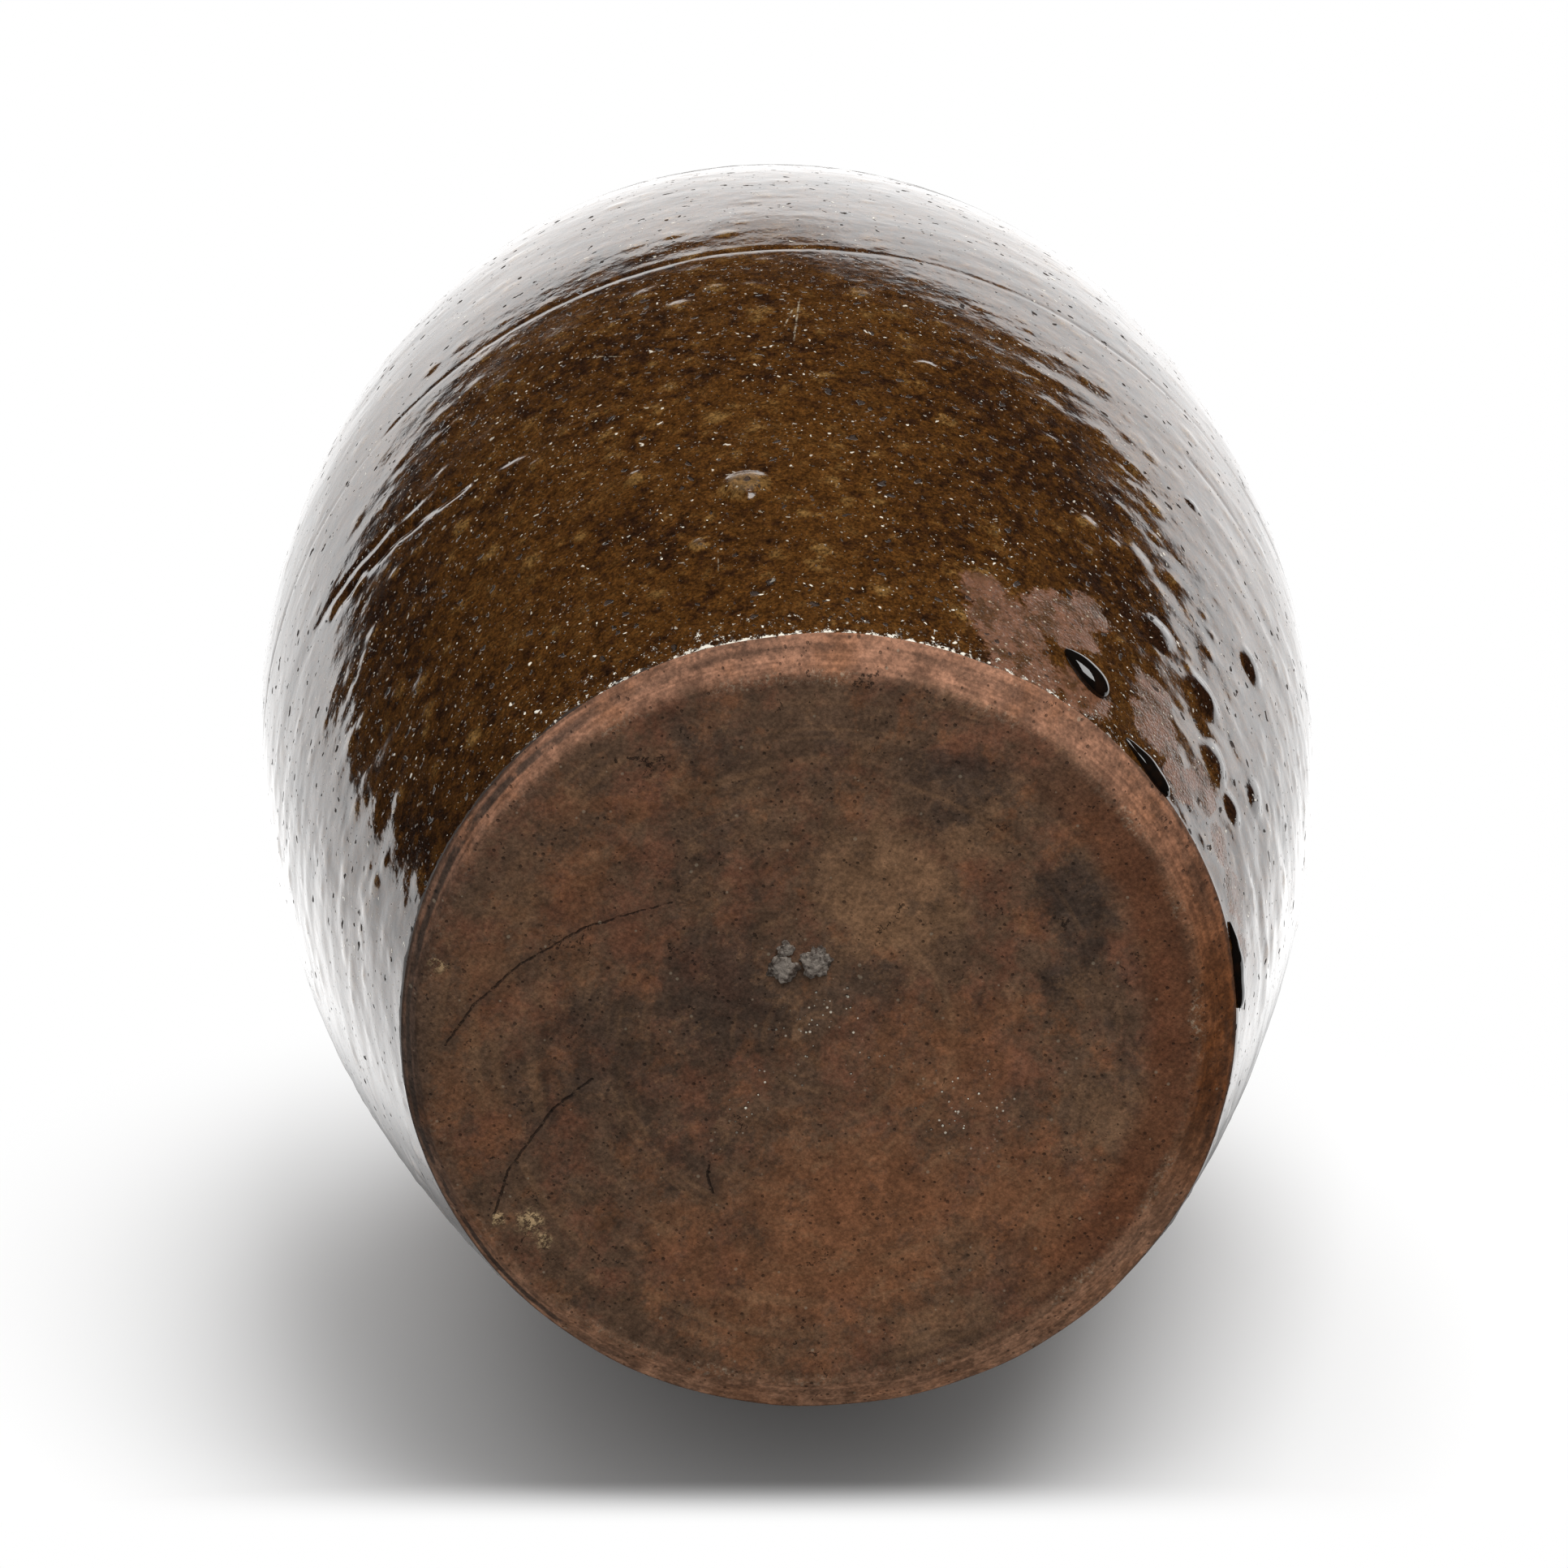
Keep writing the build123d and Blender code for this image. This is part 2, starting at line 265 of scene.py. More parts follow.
class JarColours(bpy.types.PropertyGroup):
    """Colours of the glaze and the clay."""

    # Dark glaze: thick glaze, also painted into the glaze's pits as shade
    glaze_dark: colour("Dark glaze", "Where the glaze is thick", 38, 21, 10)
    glaze: colour("Glaze", "The glaze's usual brown", 72, 44, 16)
    glaze_light: colour("Light glaze", "Mottles in the glaze", 112, 83, 45)
    thin_glaze: colour("Thin glaze", "Where clay shows through the glaze", 112, 76, 56)
    glaze_edge: colour("Glaze edge", "Crystals along the lower edge", 226, 220, 206)
    # Edge dirt: scorched clay under the glaze, and painted shade where that strip widens on the left
    edge_dirt_and_shade: colour("Edge dirt", "Dark scorched strip under the glaze", 58, 46, 38)
    speck: colour("Speck", "Pale specks in the glaze", 196, 186, 164)
    bubble_and_glint: colour("Bubble", "Burst bubbles in the glaze", 236, 228, 210)
    # Burst bubbles: near-white that is partly painted highlight, the glints on them; also the pale flecks
    # under the base
    drop: colour("Drop", "Thick glassy drops", 12, 9, 7)
    inner: colour("Inner glaze", "Thin glaze inside", 92, 62, 40)
    clay: colour("Clay", "The base's usual brown", 94, 72, 56)
    clay_red: colour("Red clay", "Redder clouds in the base", 114, 76, 57)
    clay_worn: colour("Worn clay", "Pale worn flecks on the ring", 156, 142, 122)
    soot: colour("Soot", "Cracks and pocks", 26, 20, 16)
    clay_orange: colour("Orange clay", "Rusty clouds in the base", 128, 84, 56)
    clay_tan: colour("Tan clay", "Pale clouds in the base", 130, 98, 72)
    charcoal: colour("Charcoal", "Dark clouds in the base", 64, 53, 46)
    bevel_top: colour("Bevel by the crystals", "The bevel where the glaze ends in crystals", 136, 98, 77)
    bevel_right: colour("Bevel by the drops", "The bevel where the drops end", 98, 57, 29)
    bevel_left: colour("Scorched bevel", "The bevel on its scorched side", 88, 68, 56)
    bevel_bottom: colour("Bevel on the far side", "The bevel across from the crystals", 156, 116, 90)
    rust: colour("Rusty ring", "Red-brown band inside the ring", 104, 62, 40)
    cream: colour("Cream crumbs", "Crumbs baked onto the ring", 194, 164, 124)
    clay_dirt: colour("Dirt", "Dark dirt along the worn ring", 54, 42, 34)
    grit: colour("Grit", "Crumbs from the kiln shelf", 140, 130, 120)
    grit_dark: colour("Dark grit", "Scorched parts of those crumbs", 66, 54, 46)


class JarStage(bpy.types.PropertyGroup):
    """Camera, table and light."""

    camera_place: heading(
        "Camera place", "Where the camera stands", (255.3 * mm, -320.3 * mm, -957.5 * mm), "TRANSLATION"
    )
    camera_forward: heading("Camera forward", "Which way the camera looks", (-0.2158, 0.2685, 0.9388))
    camera_up: heading("Camera up", "Which way is up in the picture", (0.6724, -0.6563, 0.3423))
    lens: FloatProperty(
        name="Lens", description="Focal length in mm", default=113.76, subtype="DISTANCE_CAMERA"
    )
    table_normal: heading("Table normal", "Which way the table's face points", (0.7061, -0.7061, 0.0528))
    table_distance: size("Table distance", "How far the table lies from the origin", 119.4 * mm)
    table_front: size("Table front", "Where its front edge lies, along the jar", 29 * mm)
    table_softness: size("Table softness", "How far that edge blurs", 12 * mm)
    table_centre: size("Table centre", "Middle of its shadowed part, along the jar", 115 * mm)
    table_near: size("Table near", "Where the table starts to fade", 110 * mm)
    table_far: size("Table far", "Where the table has faded to white", 270 * mm)
    # Painted light: the table glows in the glaze's reflections, and a painted shadow darkens that glow in a
    # strip beside the jar and dims it far off
    strip_near: size("Strip near", "How far to each side the glaze mirrors the table dark", 105 * mm)
    strip_far: size("Strip far", "Where it mirrors the table fully bright", 205 * mm)
    strip_share: level("Strip share", "How bright that dark strip is beside the rest", 0.12)
    mirror_near: size("Mirror near", "Where the mirrored table starts to dim", 400 * mm)
    mirror_far: size("Mirror far", "Where the mirrored table has dimmed", 650 * mm)
    mirror_share: level("Mirror share", "How bright it still is there", 0.78)
    mirror_level: level("Mirror level", "Brightness of the table as the glaze mirrors it", 1.82)
    sky_level: level("Sky level", "Light from straight over the table", 0.62)
    rim_level: level("Rim level", "Light from low over the table", 0.34)
    dark_level: level("Dark level", "What the glaze mirrors past the backdrop", 0.012)
    table_half: size("Table half", "Half the table's width", 1.4)
    lamp_width: size("Lamp width", "Width of each soft lamp", 0.9)
    key_level: level("Key level", "Watts of the large soft lamp", 16.0)
    key_place: heading(
        "Key place", "Right, up and forward, as the camera sees it", (0.35, 1, -0.9), "TRANSLATION"
    )
    top_level: level("Top level", "Watts of the lamp over the mouth", 9.0)
    top_place: heading("Top place", "Where that lamp stands", (0.26, -0.64, 1.25), "TRANSLATION")


def wall_radius(sizes, height):
    """Outside radius of the jar at a height, up to the root of the neck."""
    reach = sizes.belly_radius
    if height < sizes.belly_height:
        drop = (sizes.belly_height - height) / (sizes.belly_height - sizes.foot_edge_height)
        return reach - (reach - sizes.foot_radius) * drop**lower_curve_share
    climb = (height - sizes.belly_height) / sizes.shoulder_height
    across = (1 - climb**shoulder_rise_share) ** (1 / shoulder_round_share)
    return sizes.neck_radius + (reach - sizes.neck_radius) * across


def wall_slope(sizes, height):
    """How fast the radius grows with the height."""
    step = 0.01 * mm
    return (wall_radius(sizes, height + step) - wall_radius(sizes, height - step)) / (2 * step)


def wall_thickness(sizes, height):
    if height < sizes.belly_height:
        share = height / sizes.belly_height
        return sizes.wall_at_foot + (sizes.wall_at_belly - sizes.wall_at_foot) * share
    share = (height - sizes.belly_height) / sizes.shoulder_height
    return sizes.wall_at_belly + (sizes.wall_at_neck - sizes.wall_at_belly) * share


def outward(sizes, height):
    """Unit vector square to the wall, pointing out of the jar, as radius and height."""
    slope = wall_slope(sizes, height)
    length = math.hypot(1, slope)
    return 1 / length, -slope / length


def inner_point(sizes, height):
    """Point inside the wall: level with the outer one below the belly, square to it above."""
    across, along = outward(sizes, height)
    reach = wall_thickness(sizes, height)
    if height < sizes.belly_height:
        return wall_radius(sizes, height) - reach / across, height
    return wall_radius(sizes, height) - reach * across, height - reach * along


def turned_place(degrees, height, sizes, stand=0.0):
    """A place on the outside wall, so many degrees round from +X, standing off it by so much."""
    turn = math.radians(degrees)
    across, along = outward(sizes, height)
    radius = wall_radius(sizes, height) + stand * across
    return Vector((radius * math.cos(turn), radius * math.sin(turn), height + stand * along))


def held(value, low=0.0, high=1.0):
    return min(max(value, low), high)


def spaced(low, high, step=mm, count=None):
    """Values after low up to high, about a step apart."""
    count = count or max(1, round((high - low) / step))
    return [low + (high - low) * number / count for number in range(1, count + 1)]


def bent(start, middle, end, steps):
    """Points on a smooth curve from start to end that leaves and arrives towards the middle."""
    start, middle, end = Vector(start), Vector(middle), Vector(end)
    shares = [step / steps for step in range(steps + 1)]
    return [start.lerp(middle, share).lerp(middle.lerp(end, share), share) for share in shares]


def heights_between(sizes, low, high, step):
    """Heights from low to high, evenly spaced along the wall's curve."""
    heights = [low]
    while True:
        climb = step / math.hypot(1, wall_slope(sizes, heights[-1]))
        if heights[-1] + 1.5 * climb > high:
            return heights + [high]
        heights.append(heights[-1] + climb)


def spin_outline(outline, columns, closed=True):
    """A shape turned once round the Z axis from an outline of (radius, height) points."""
    shape = bmesh.new()
    corners = [shape.verts.new((radius, 0, height)) for radius, height in outline]
    edges = [shape.edges.new(pair) for pair in zip(corners, corners[1:])]
    if closed:
        edges.append(shape.edges.new((corners[-1], corners[0])))
    doublings = int(math.log2(columns)) - 2
    slice_angle = math.tau / 2**doublings
    bmesh.ops.spin(
        shape,
        geom=corners + edges,
        cent=(0, 0, 0),
        axis=(0, 0, 1),
        angle=slice_angle,
        steps=round(columns / 2**doublings),
        use_merge=False,
        use_duplicate=False,
    )
    for doubling in range(doublings):
        whole = shape.verts[:] + shape.edges[:] + shape.faces[:]
        copied = bmesh.ops.duplicate(shape, geom=whole)["geom"]
        turn = Matrix.Rotation(slice_angle * 2**doubling, 3, "Z")
        verts = [item for item in copied if isinstance(item, bmesh.types.BMVert)]
        bmesh.ops.rotate(shape, cent=(0, 0, 0), matrix=turn, verts=verts)
    bmesh.ops.remove_doubles(shape, verts=shape.verts, dist=0.002 * mm)
    bmesh.ops.recalc_face_normals(shape, faces=shape.faces)
    return shape


def push(vert, stand, across, along=0.0):
    """Moves a vertex by stand in a direction that is given as radius and height."""
    out = Vector((vert.co.x, vert.co.y, 0)).normalized()
    vert.co += out * (stand * across) + Vector((0, 0, stand * along))


def add_piece(shape, node, ending, materials, sharp_angle=40):
    """Makes an object of a shape, ties it to the frame and shows it in place of its CAD node."""
    for face in shape.faces:
        face.smooth = True
    limit = math.radians(sharp_angle)
    for edge in shape.edges:
        edge.smooth = edge.calc_face_angle(0) < limit
    name = f"{node}_{ending}"
    mesh = bpy.data.meshes.new(name)
    shape.to_mesh(mesh)
    shape.free()
    for material in materials:
        mesh.materials.append(material)
    piece = bpy.data.objects.new(name, mesh)
    bpy.context.scene.collection.objects.link(piece)
    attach(piece, "root")
    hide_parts(node)


def groove(offset, width):
    return math.exp(-((offset / width) ** 2))


class Relief:
    """How far the thrown and glazed outside stands off the even outline."""

    def __init__(self, sizes, surface):
        noise.seed_set(seed)
        self.sizes = sizes
        self.surface = surface
        self.blisters = [
            (turned_place(turn, height * mm, sizes), width * mm / 2, stand * mm, pale)
            for turn, height, width, stand, pale in blister_rows
        ]
        self.rough = [
            (turned_place(turn, height * mm, sizes), reach * mm, gain)
            for turn, height, reach, gain in rough_rows
        ]

    def swell(self, place):
        """The soft round lumps, the blisters and how pale the thin glaze on both is."""
        lump, blister, paleness = 0, 0, 0
        for fineness, share in lump_rows:
            distances, centres = noise.voronoi(place * fineness)
            chosen = max(0, noise.noise(centres[0] * 3.1) + share)
            round_top = max(0, 1 - (distances[0] / 0.42) ** 2) ** 2
            lump = max(lump, round_top * chosen * lump_rows[0][0] / fineness)
        for centre, reach, height, pale in self.blisters:
            uneven = 1 + 0.4 * noise.noise(place * 120) * (1 - abs(pale))
            distance = (place - centre).length * uneven
            if distance < reach:
                cap = (1 - (distance / reach) ** 2) ** 1.25
                blister += height * cap
                paleness += pale * cap
        return lump, blister, min(1, min(0.6, 1.3 * lump) + paleness)

    def scores(self, place):
        """Shallow lines cut into the clay before glazing: one right round and a few short ones."""
        surface = self.surface
        turn = math.degrees(math.atan2(place.y, place.x))
        sway = mm * (0.8 * noise.noise(place * 21) + 0.5 * noise.noise(place * 90))
        middle = surface.groove_height + surface.groove_wave * math.sin(math.radians(turn + 55)) + sway
        depth = surface.groove_depth * max(0, 0.7 + 0.8 * noise.noise(place * 40))
        cut = depth * groove(place.z - middle, surface.groove_width)
        for start, start_height, end, end_height, deep in score_rows:
            share = (turn - start) / (end - start)
            if 0 < share < 1:
                middle = (start_height + (end_height - start_height) * share) * mm + sway
                fade = min(share, 1 - share, 0.2) / 0.2
                ragged = max(0, 1 + 1.6 * noise.noise(place * 110))
                width = surface.groove_width * (1 + 2 * deep)
                cut += deep * mm * fade * ragged * groove(place.z - middle, width)
        return cut

    def at(self, place):
        """Stand off the outline in metres, and how thinly glazed the place is."""
        surface = self.surface
        gain = 1.0
        for centre, reach, more in self.rough:
            distance = (place - centre).length
            if distance < 2 * reach:
                gain += more * groove(distance, reach)
        calm = 1 - 0.5 * held((place.z - 120 * mm) / (45 * mm))
        ridges = Vector((place.x * 5, place.y * 5, place.z * 85))
        bent_place = place + noise.noise_vector(place * 34) * 5 * mm
        drawn = Vector((bent_place.x * 42, bent_place.y * 42, bent_place.z * 135))
        patchy = 0.25 + 1.5 * max(0, noise.noise(place * 19) + 0.3)
        stand = surface.sway * noise.noise(place * 11)
        stand += surface.ridge_height * noise.noise(ridges)
        lumps = noise.noise(place * 95) + 0.5 * noise.noise(place * 200)
        stand += surface.lump_height * gain * calm * lumps
        stand += surface.drawn_height * (0.6 + 0.4 * gain) * calm * patchy * noise.noise(drawn)
        stand += surface.grain_height * noise.noise(place * 430)
        lump, blister, paleness = self.swell(place)
        stand += surface.swell_height * lump * calm + blister - self.scores(place)
        stand -= surface.belly_clearance * groove(place.z - self.sizes.belly_height, 60 * mm)
        return stand, paleness


def throw_wall(name, low, high, top_rise, sizes, surface, relief):
    """One thrown section of the wall, between two seams that climb towards the inside."""
    outside = heights_between(sizes, low, high, surface.row_step)
    inside = heights_between(sizes, low + sizes.seam_rise, high + top_rise, surface.inner_row_step)
    outline = [(wall_radius(sizes, height), height) for height in outside]
    outline += [inner_point(sizes, height) for height in reversed(inside)]
    shape = spin_outline(outline, surface.columns)
    swell = shape.verts.layers.float.new("swell")
    for vert in shape.verts:
        place = vert.co.copy()
        height = held(place.z, low, high)
        if place.xy.length > wall_radius(sizes, height) - 0.5 * mm:
            stand, vert[swell] = relief.at(place)
            push(vert, stand, *outward(sizes, height))
        else:
            rings = noise.noise(Vector((place.x * 6, place.y * 6, place.z * 120)))
            push(vert, surface.inner_ring_height * rings, 1)
    for face in shape.faces:
        centre = face.calc_center_median()
        depth = wall_radius(sizes, held(centre.z, low, high)) - centre.xy.length
        face.material_index = int(depth > 1.5 * mm)
    add_piece(shape, name, "glazed", (brown_glaze(), inner_glaze()))


class MARTABAN_OT_walls(bpy.types.Operator):
    """Throw the four sections of the wall"""

    bl_idname = "martaban.walls"
    bl_label = "Walls"

    def execute(self, context):
        sizes, surface = context.scene.jar_sizes, context.scene.jar_surface
        relief = Relief(sizes, surface)
        low = sizes.base_seam
        for name in ("lower_wall", "middle_wall", "belly_wall"):
            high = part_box(name)[1].z - sizes.seam_rise
            throw_wall(name, low, high, sizes.seam_rise, sizes, surface, relief)
            low = high
        throw_wall("shoulder_wall", low, sizes.neck_seam, 0, sizes, surface, relief)
        return {"FINISHED"}


def to_line(place, line):
    """Distance from a place on the base to a crack, and how far along the crack it lies."""
    nearest, share = 1.0, 0.0
    for number, (start, end) in enumerate(zip(line, line[1:])):
        first, second = Vector(start) * mm, Vector(end) * mm
        along = held((place - first).dot(second - first) / (second - first).length_squared)
        distance = (place - first.lerp(second, along)).length
        if distance < nearest:
            nearest, share = distance, (number + along) / (len(line) - 1)
    return nearest, share


def base_relief(place, surface):
    """How far the bare underside stands off, with turning marks, pocks and drying cracks."""
    stand = surface.clay_sway * (noise.noise(place * 28) + 0.45 * noise.noise(place * 95))
    turned = noise.noise(Vector((place.length * 330, place.x * 8, place.y * 8)))
    pocked = max(0, noise.noise(place * 260 + Vector((3.1, 0, 0))) - 0.42)
    stand += surface.turning_height * turned - surface.pock_depth * pocked
    for line in crack_lines:
        distance, share = to_line(place.to_2d(), line)
        if distance < 5 * surface.crack_width:
            broken = max(0, 0.55 + 1.4 * noise.noise(place * 190))
            depth = surface.crack_depth * broken * math.sin(math.pi * held(share, 0.04, 0.96))
            stand -= depth * groove(distance, surface.crack_width)
    return stand


def ring_spread(place, surface):
    """How far the standing ring reaches past its circle, where the soft foot was pressed down."""
    turn = math.atan2(place.y, place.x)
    left = max(0, math.cos(turn - math.radians(225)))
    top = max(0, math.cos(turn + math.radians(45)))
    return surface.ring_spread * (left**1.3 + 0.35 * top)


def base_outline(sizes):
    """From the middle of the hollow over the ring, the bevel and the wall to the inside."""
    ring_in, ring_out = sizes.ring_inner_radius, sizes.ring_radius
    foot, edge = sizes.foot_radius, sizes.foot_edge_height
    step = 0.8 * mm
    shares = [0.0, *spaced(0, 1, count=round(ring_in / step))]
    outline = [(ring_in * share, sizes.dish_depth * (1 - share**2)) for share in shares]
    outline += [(radius, 0) for radius in spaced(ring_in, ring_out - 1.2 * mm, step)]
    bevel_start = (ring_out + 1.1 * mm, 0.72 * mm)
    outline += bent(outline[-1], (ring_out, 0), bevel_start, 4)[1:]
    bevel_end = (foot - 1.0 * mm, edge - 0.65 * mm)
    outline += zip(*(spaced(low, high, count=7) for low, high in zip(bevel_start, bevel_end)))
    side = (wall_radius(sizes, edge + 0.9 * mm), edge + 0.9 * mm)
    outline += bent(bevel_end, (foot, edge), side, 4)[1:]
    heights = spaced(side[1], sizes.base_seam, 0.7 * mm)
    outline += [(wall_radius(sizes, height), height) for height in heights]
    inner, top = inner_point(sizes, sizes.slab_thickness)
    return outline + [(inner, top)] + [(radius, top) for radius in spaced(inner, 0, count=12)]


class MARTABAN_OT_base_slab(bpy.types.Operator):
    """Cut the bare base slab with its bevel, ring and hollow"""

    bl_idname = "martaban.base_slab"
    bl_label = "Base slab"

    def execute(self, context):
        sizes, surface = context.scene.jar_sizes, context.scene.jar_surface
        foot, edge, ring_out = sizes.foot_radius, sizes.foot_edge_height, sizes.ring_radius
        shape = spin_outline(base_outline(sizes), surface.columns, closed=False)
        relief = Relief(sizes, surface)
        for vert in shape.verts:
            place = vert.co.copy()
            spread = place.xy.length
            if place.z < edge + 1.0 * mm and spread < foot + 0.5 * mm:
                stand = base_relief(Vector((place.x, place.y, 0)), surface)
                vert.co.z = max(place.z - stand, 0.02 * mm)
                near = max(0, 1 - abs(spread - ring_out) / (foot - ring_out))
                shift = ring_spread(place, surface) + 0.5 * mm * noise.noise(place * 40)
                wander = 0.35 * mm * noise.noise(place * 55 + Vector((0, 0, 7)))
                vert.co.xy *= 1 + (shift * near + wander * min(spread / foot, 1)) / max(spread, mm)
            elif place.z < sizes.base_seam + 0.5 * mm and spread > foot - 0.5 * mm:
                fade = (place.z - edge) / (sizes.base_seam - edge)
                push(vert, relief.at(place)[0] * fade, *outward(sizes, place.z))
        inner = inner_point(sizes, sizes.slab_thickness)[0]
        for face in shape.faces:
            centre = face.calc_center_median()
            glazed = centre.z > edge + 0.9 * mm and centre.xy.length > inner + 2 * mm
            face.material_index = 2 if centre.z > sizes.slab_thickness - mm else int(glazed)
        materials = (bare_clay(), brown_glaze(), inner_glaze())
        add_piece(shape, "base_slab", "clay", materials)
        return {"FINISHED"}


class MARTABAN_OT_corner_coil(bpy.types.Operator):
    """Press the roll of clay into the corner inside the base"""

    bl_idname = "martaban.corner_coil"
    bl_label = "Corner coil"

    def execute(self, context):
        sizes, surface = context.scene.jar_sizes, context.scene.jar_surface
        corner = Vector(inner_point(sizes, sizes.slab_thickness))
        top = Vector(inner_point(sizes, sizes.slab_thickness + sizes.coil_size))
        foot = corner - Vector((sizes.coil_size, 0))
        into = Vector((0.5 * mm, 0))
        hollow = (corner + (top + foot) / 2) / 2
        outline = [corner + into, top + into, *bent(top, hollow, foot, 12)]
        shape = spin_outline(outline, surface.columns // 2)
        for vert in shape.verts:
            if vert.co.z > sizes.slab_thickness + mm:
                vert.co.z += 0.35 * mm * noise.noise(vert.co * 60)
        add_piece(shape, "corner_coil", "clay", (inner_glaze(),))
        return {"FINISHED"}


def turn_collar(sizes, surface):
    """The short neck, which sweeps in from the shoulder and then stands upright."""
    root = sizes.belly_height + sizes.shoulder_height
    top, upright = root + sizes.neck_height, root + sizes.neck_height / 2
    neck, mouth, seam = sizes.neck_radius, sizes.mouth_radius, sizes.neck_seam
    across, along = outward(sizes, seam)
    start = Vector((wall_radius(sizes, seam), seam))
    turn_in = start + Vector((-along, across)) * (start.x - neck) / max(along, 0.1)
    outline = bent(start, (neck, min(turn_in.y, upright)), (neck, upright), 26)
    outline += [(neck, height) for height in spaced(upright, top, 0.9 * mm)]
    outline += [(mouth, top + sizes.seam_rise), (mouth, root)]
    inner = inner_point(sizes, seam)
    outline += bent((mouth, root), (mouth, inner[1] + 1.2 * mm), inner, 12)[1:]
    collar = spin_outline(outline, surface.columns)
    relief = Relief(sizes, surface)
    for vert in collar.verts:
        place = vert.co.copy()
        if place.xy.length > neck - 0.1 * mm:
            low = groove(place.z - seam, 9 * mm)
            stand = relief.at(place)[0] * low + 0.35 * surface.sway * noise.noise(place * 30) * (1 - low)
            flat = held((place.z - seam) / (upright - seam))
            push(vert, stand, across + (1 - across) * flat, along * (1 - flat))
    for face in collar.faces:
        centre = face.calc_center_median()
        inside = face.normal.xy.dot(centre.xy) < 0 and centre.z > seam
        face.material_index = int(inside)
    return collar


def roll_rim(sizes, surface):
    """The rolled rim: a round bead outside, with a rounded edge to the mouth."""
    low = sizes.belly_height + sizes.shoulder_height + sizes.neck_height
    half = (jar_height - low) / 2
    neck, mouth, lip = sizes.neck_radius, sizes.mouth_radius, sizes.lip_rounding
    bead = []
    for share in (0.0, *spaced(0, 1, count=40)):
        turn = math.pi * (share - 0.5)
        bead.append((neck + sizes.rim_overhang * math.cos(turn), low + half + half * math.sin(turn)))
    bead.append((mouth + lip, jar_height))
    bead += bent(bead[-1], (mouth, jar_height), (mouth, jar_height - lip), 8)[1:]
    bead.append((mouth, low + sizes.seam_rise))
    rim = spin_outline(bead, surface.columns)
    for vert in rim.verts:
        place = vert.co.copy()
        free = held((place.z - low) / (4 * mm))
        uneven = 0.28 * mm * noise.noise(place * 26) + 0.10 * mm * noise.noise(place * 85)
        middle = Vector((place.x, place.y, 0)) * (neck / place.xy.length) + Vector((0, 0, low + half))
        vert.co += (place - middle).normalized() * free * (uneven - 0.25 * mm)
    return rim


class MARTABAN_OT_neck_and_rim(bpy.types.Operator):
    """Turn the neck collar and roll the rim over it"""

    bl_idname = "martaban.neck_and_rim"
    bl_label = "Neck and rim"

    def execute(self, context):
        sizes, surface = context.scene.jar_sizes, context.scene.jar_surface
        collar, rim = turn_collar(sizes, surface), roll_rim(sizes, surface)
        add_piece(collar, "neck_collar", "glazed", (brown_glaze(), inner_glaze()))
        add_piece(rim, "rolled_rim", "glazed", (brown_glaze(),))
        return {"FINISHED"}


def lug_frames(sizes, foot, head, crown, out):
    """Where the strap's round outline stands, step by step along an arc over three places."""
    chord = head - foot
    rise = (crown - foot.lerp(head, 0.5)).dot(out)
    radius = (chord.length**2 / 4 + rise**2) / (2 * rise)
    centre = crown - out * radius
    up = chord.normalized()
    half_sweep = 2 * math.atan2(rise, chord.length / 2)
    frames = []
    for share in (0.0, *spaced(0, 1, count=30)):
        turn = half_sweep * 2 * (share - 0.5)
        away = out * math.cos(turn) + up * math.sin(turn)
        tangent = up * math.cos(turn) - out * math.sin(turn)
        flare = abs(2 * share - 1) ** 3
        wide = sizes.strap_width / 2 * (1 + 0.12 * flare)
        thick = sizes.strap_thickness / 2 * (1 - 0.10 * flare)
        basis = Matrix((Vector((0, wide, 0)), away * thick, tangent)).transposed().to_4x4()
        frames.append(Matrix.Translation(centre + away * radius) @ basis)
    return frames


def lug_shape(sizes, surface, number):
    """An arched strap of clay whose two ends are pressed flat onto the shoulder."""
    shape = bmesh.new()
    across, along = outward(sizes, sizes.lug_height)
    half_climb = sizes.lug_span / 2 * across
    ends = (sizes.lug_height - half_climb, sizes.lug_height + half_climb)
    foot, head = (turned_place(0, height, sizes, -sizes.lug_depth) for height in ends)
    crown = turned_place(0, sizes.lug_height, sizes, sizes.lug_stand)
    frames = lug_frames(sizes, foot, head, crown, Vector((across, 0, along)))
    ring = bmesh.ops.create_circle(shape, segments=28, radius=1)["verts"]
    bmesh.ops.transform(shape, matrix=frames[0], verts=ring)
    bmesh.ops.contextual_create(shape, geom=ring)
    for before, after in zip(frames, frames[1:]):
        edges = [edge for edge in shape.edges if all(vert in ring for vert in edge.verts)]
        grown = bmesh.ops.extrude_edge_only(shape, edges=edges)
        ring = [item for item in grown["geom"] if isinstance(item, bmesh.types.BMVert)]
        bmesh.ops.transform(shape, matrix=after @ before.inverted(), verts=ring)
    bmesh.ops.contextual_create(shape, geom=ring)
    for height in ends:
        pad = bmesh.ops.create_icosphere(shape, subdivisions=4, radius=1)["verts"]
        across, along = outward(sizes, height)
        up, side, out = Vector((-along, 0, across)), Vector((0, 1, 0)), Vector((across, 0, along))
        basis = Matrix((up * sizes.pad_radius, side * sizes.pad_radius, out * sizes.pad_height))
        place = Matrix.Translation(turned_place(0, height, sizes)) @ basis.transposed().to_4x4()
        bmesh.ops.transform(shape, matrix=place, verts=pad)
    bmesh.ops.recalc_face_normals(shape, faces=shape.faces)
    return fused(shape, surface.lug_grain, 5, Vector((number * 7.3, number * 3.1, 0)))


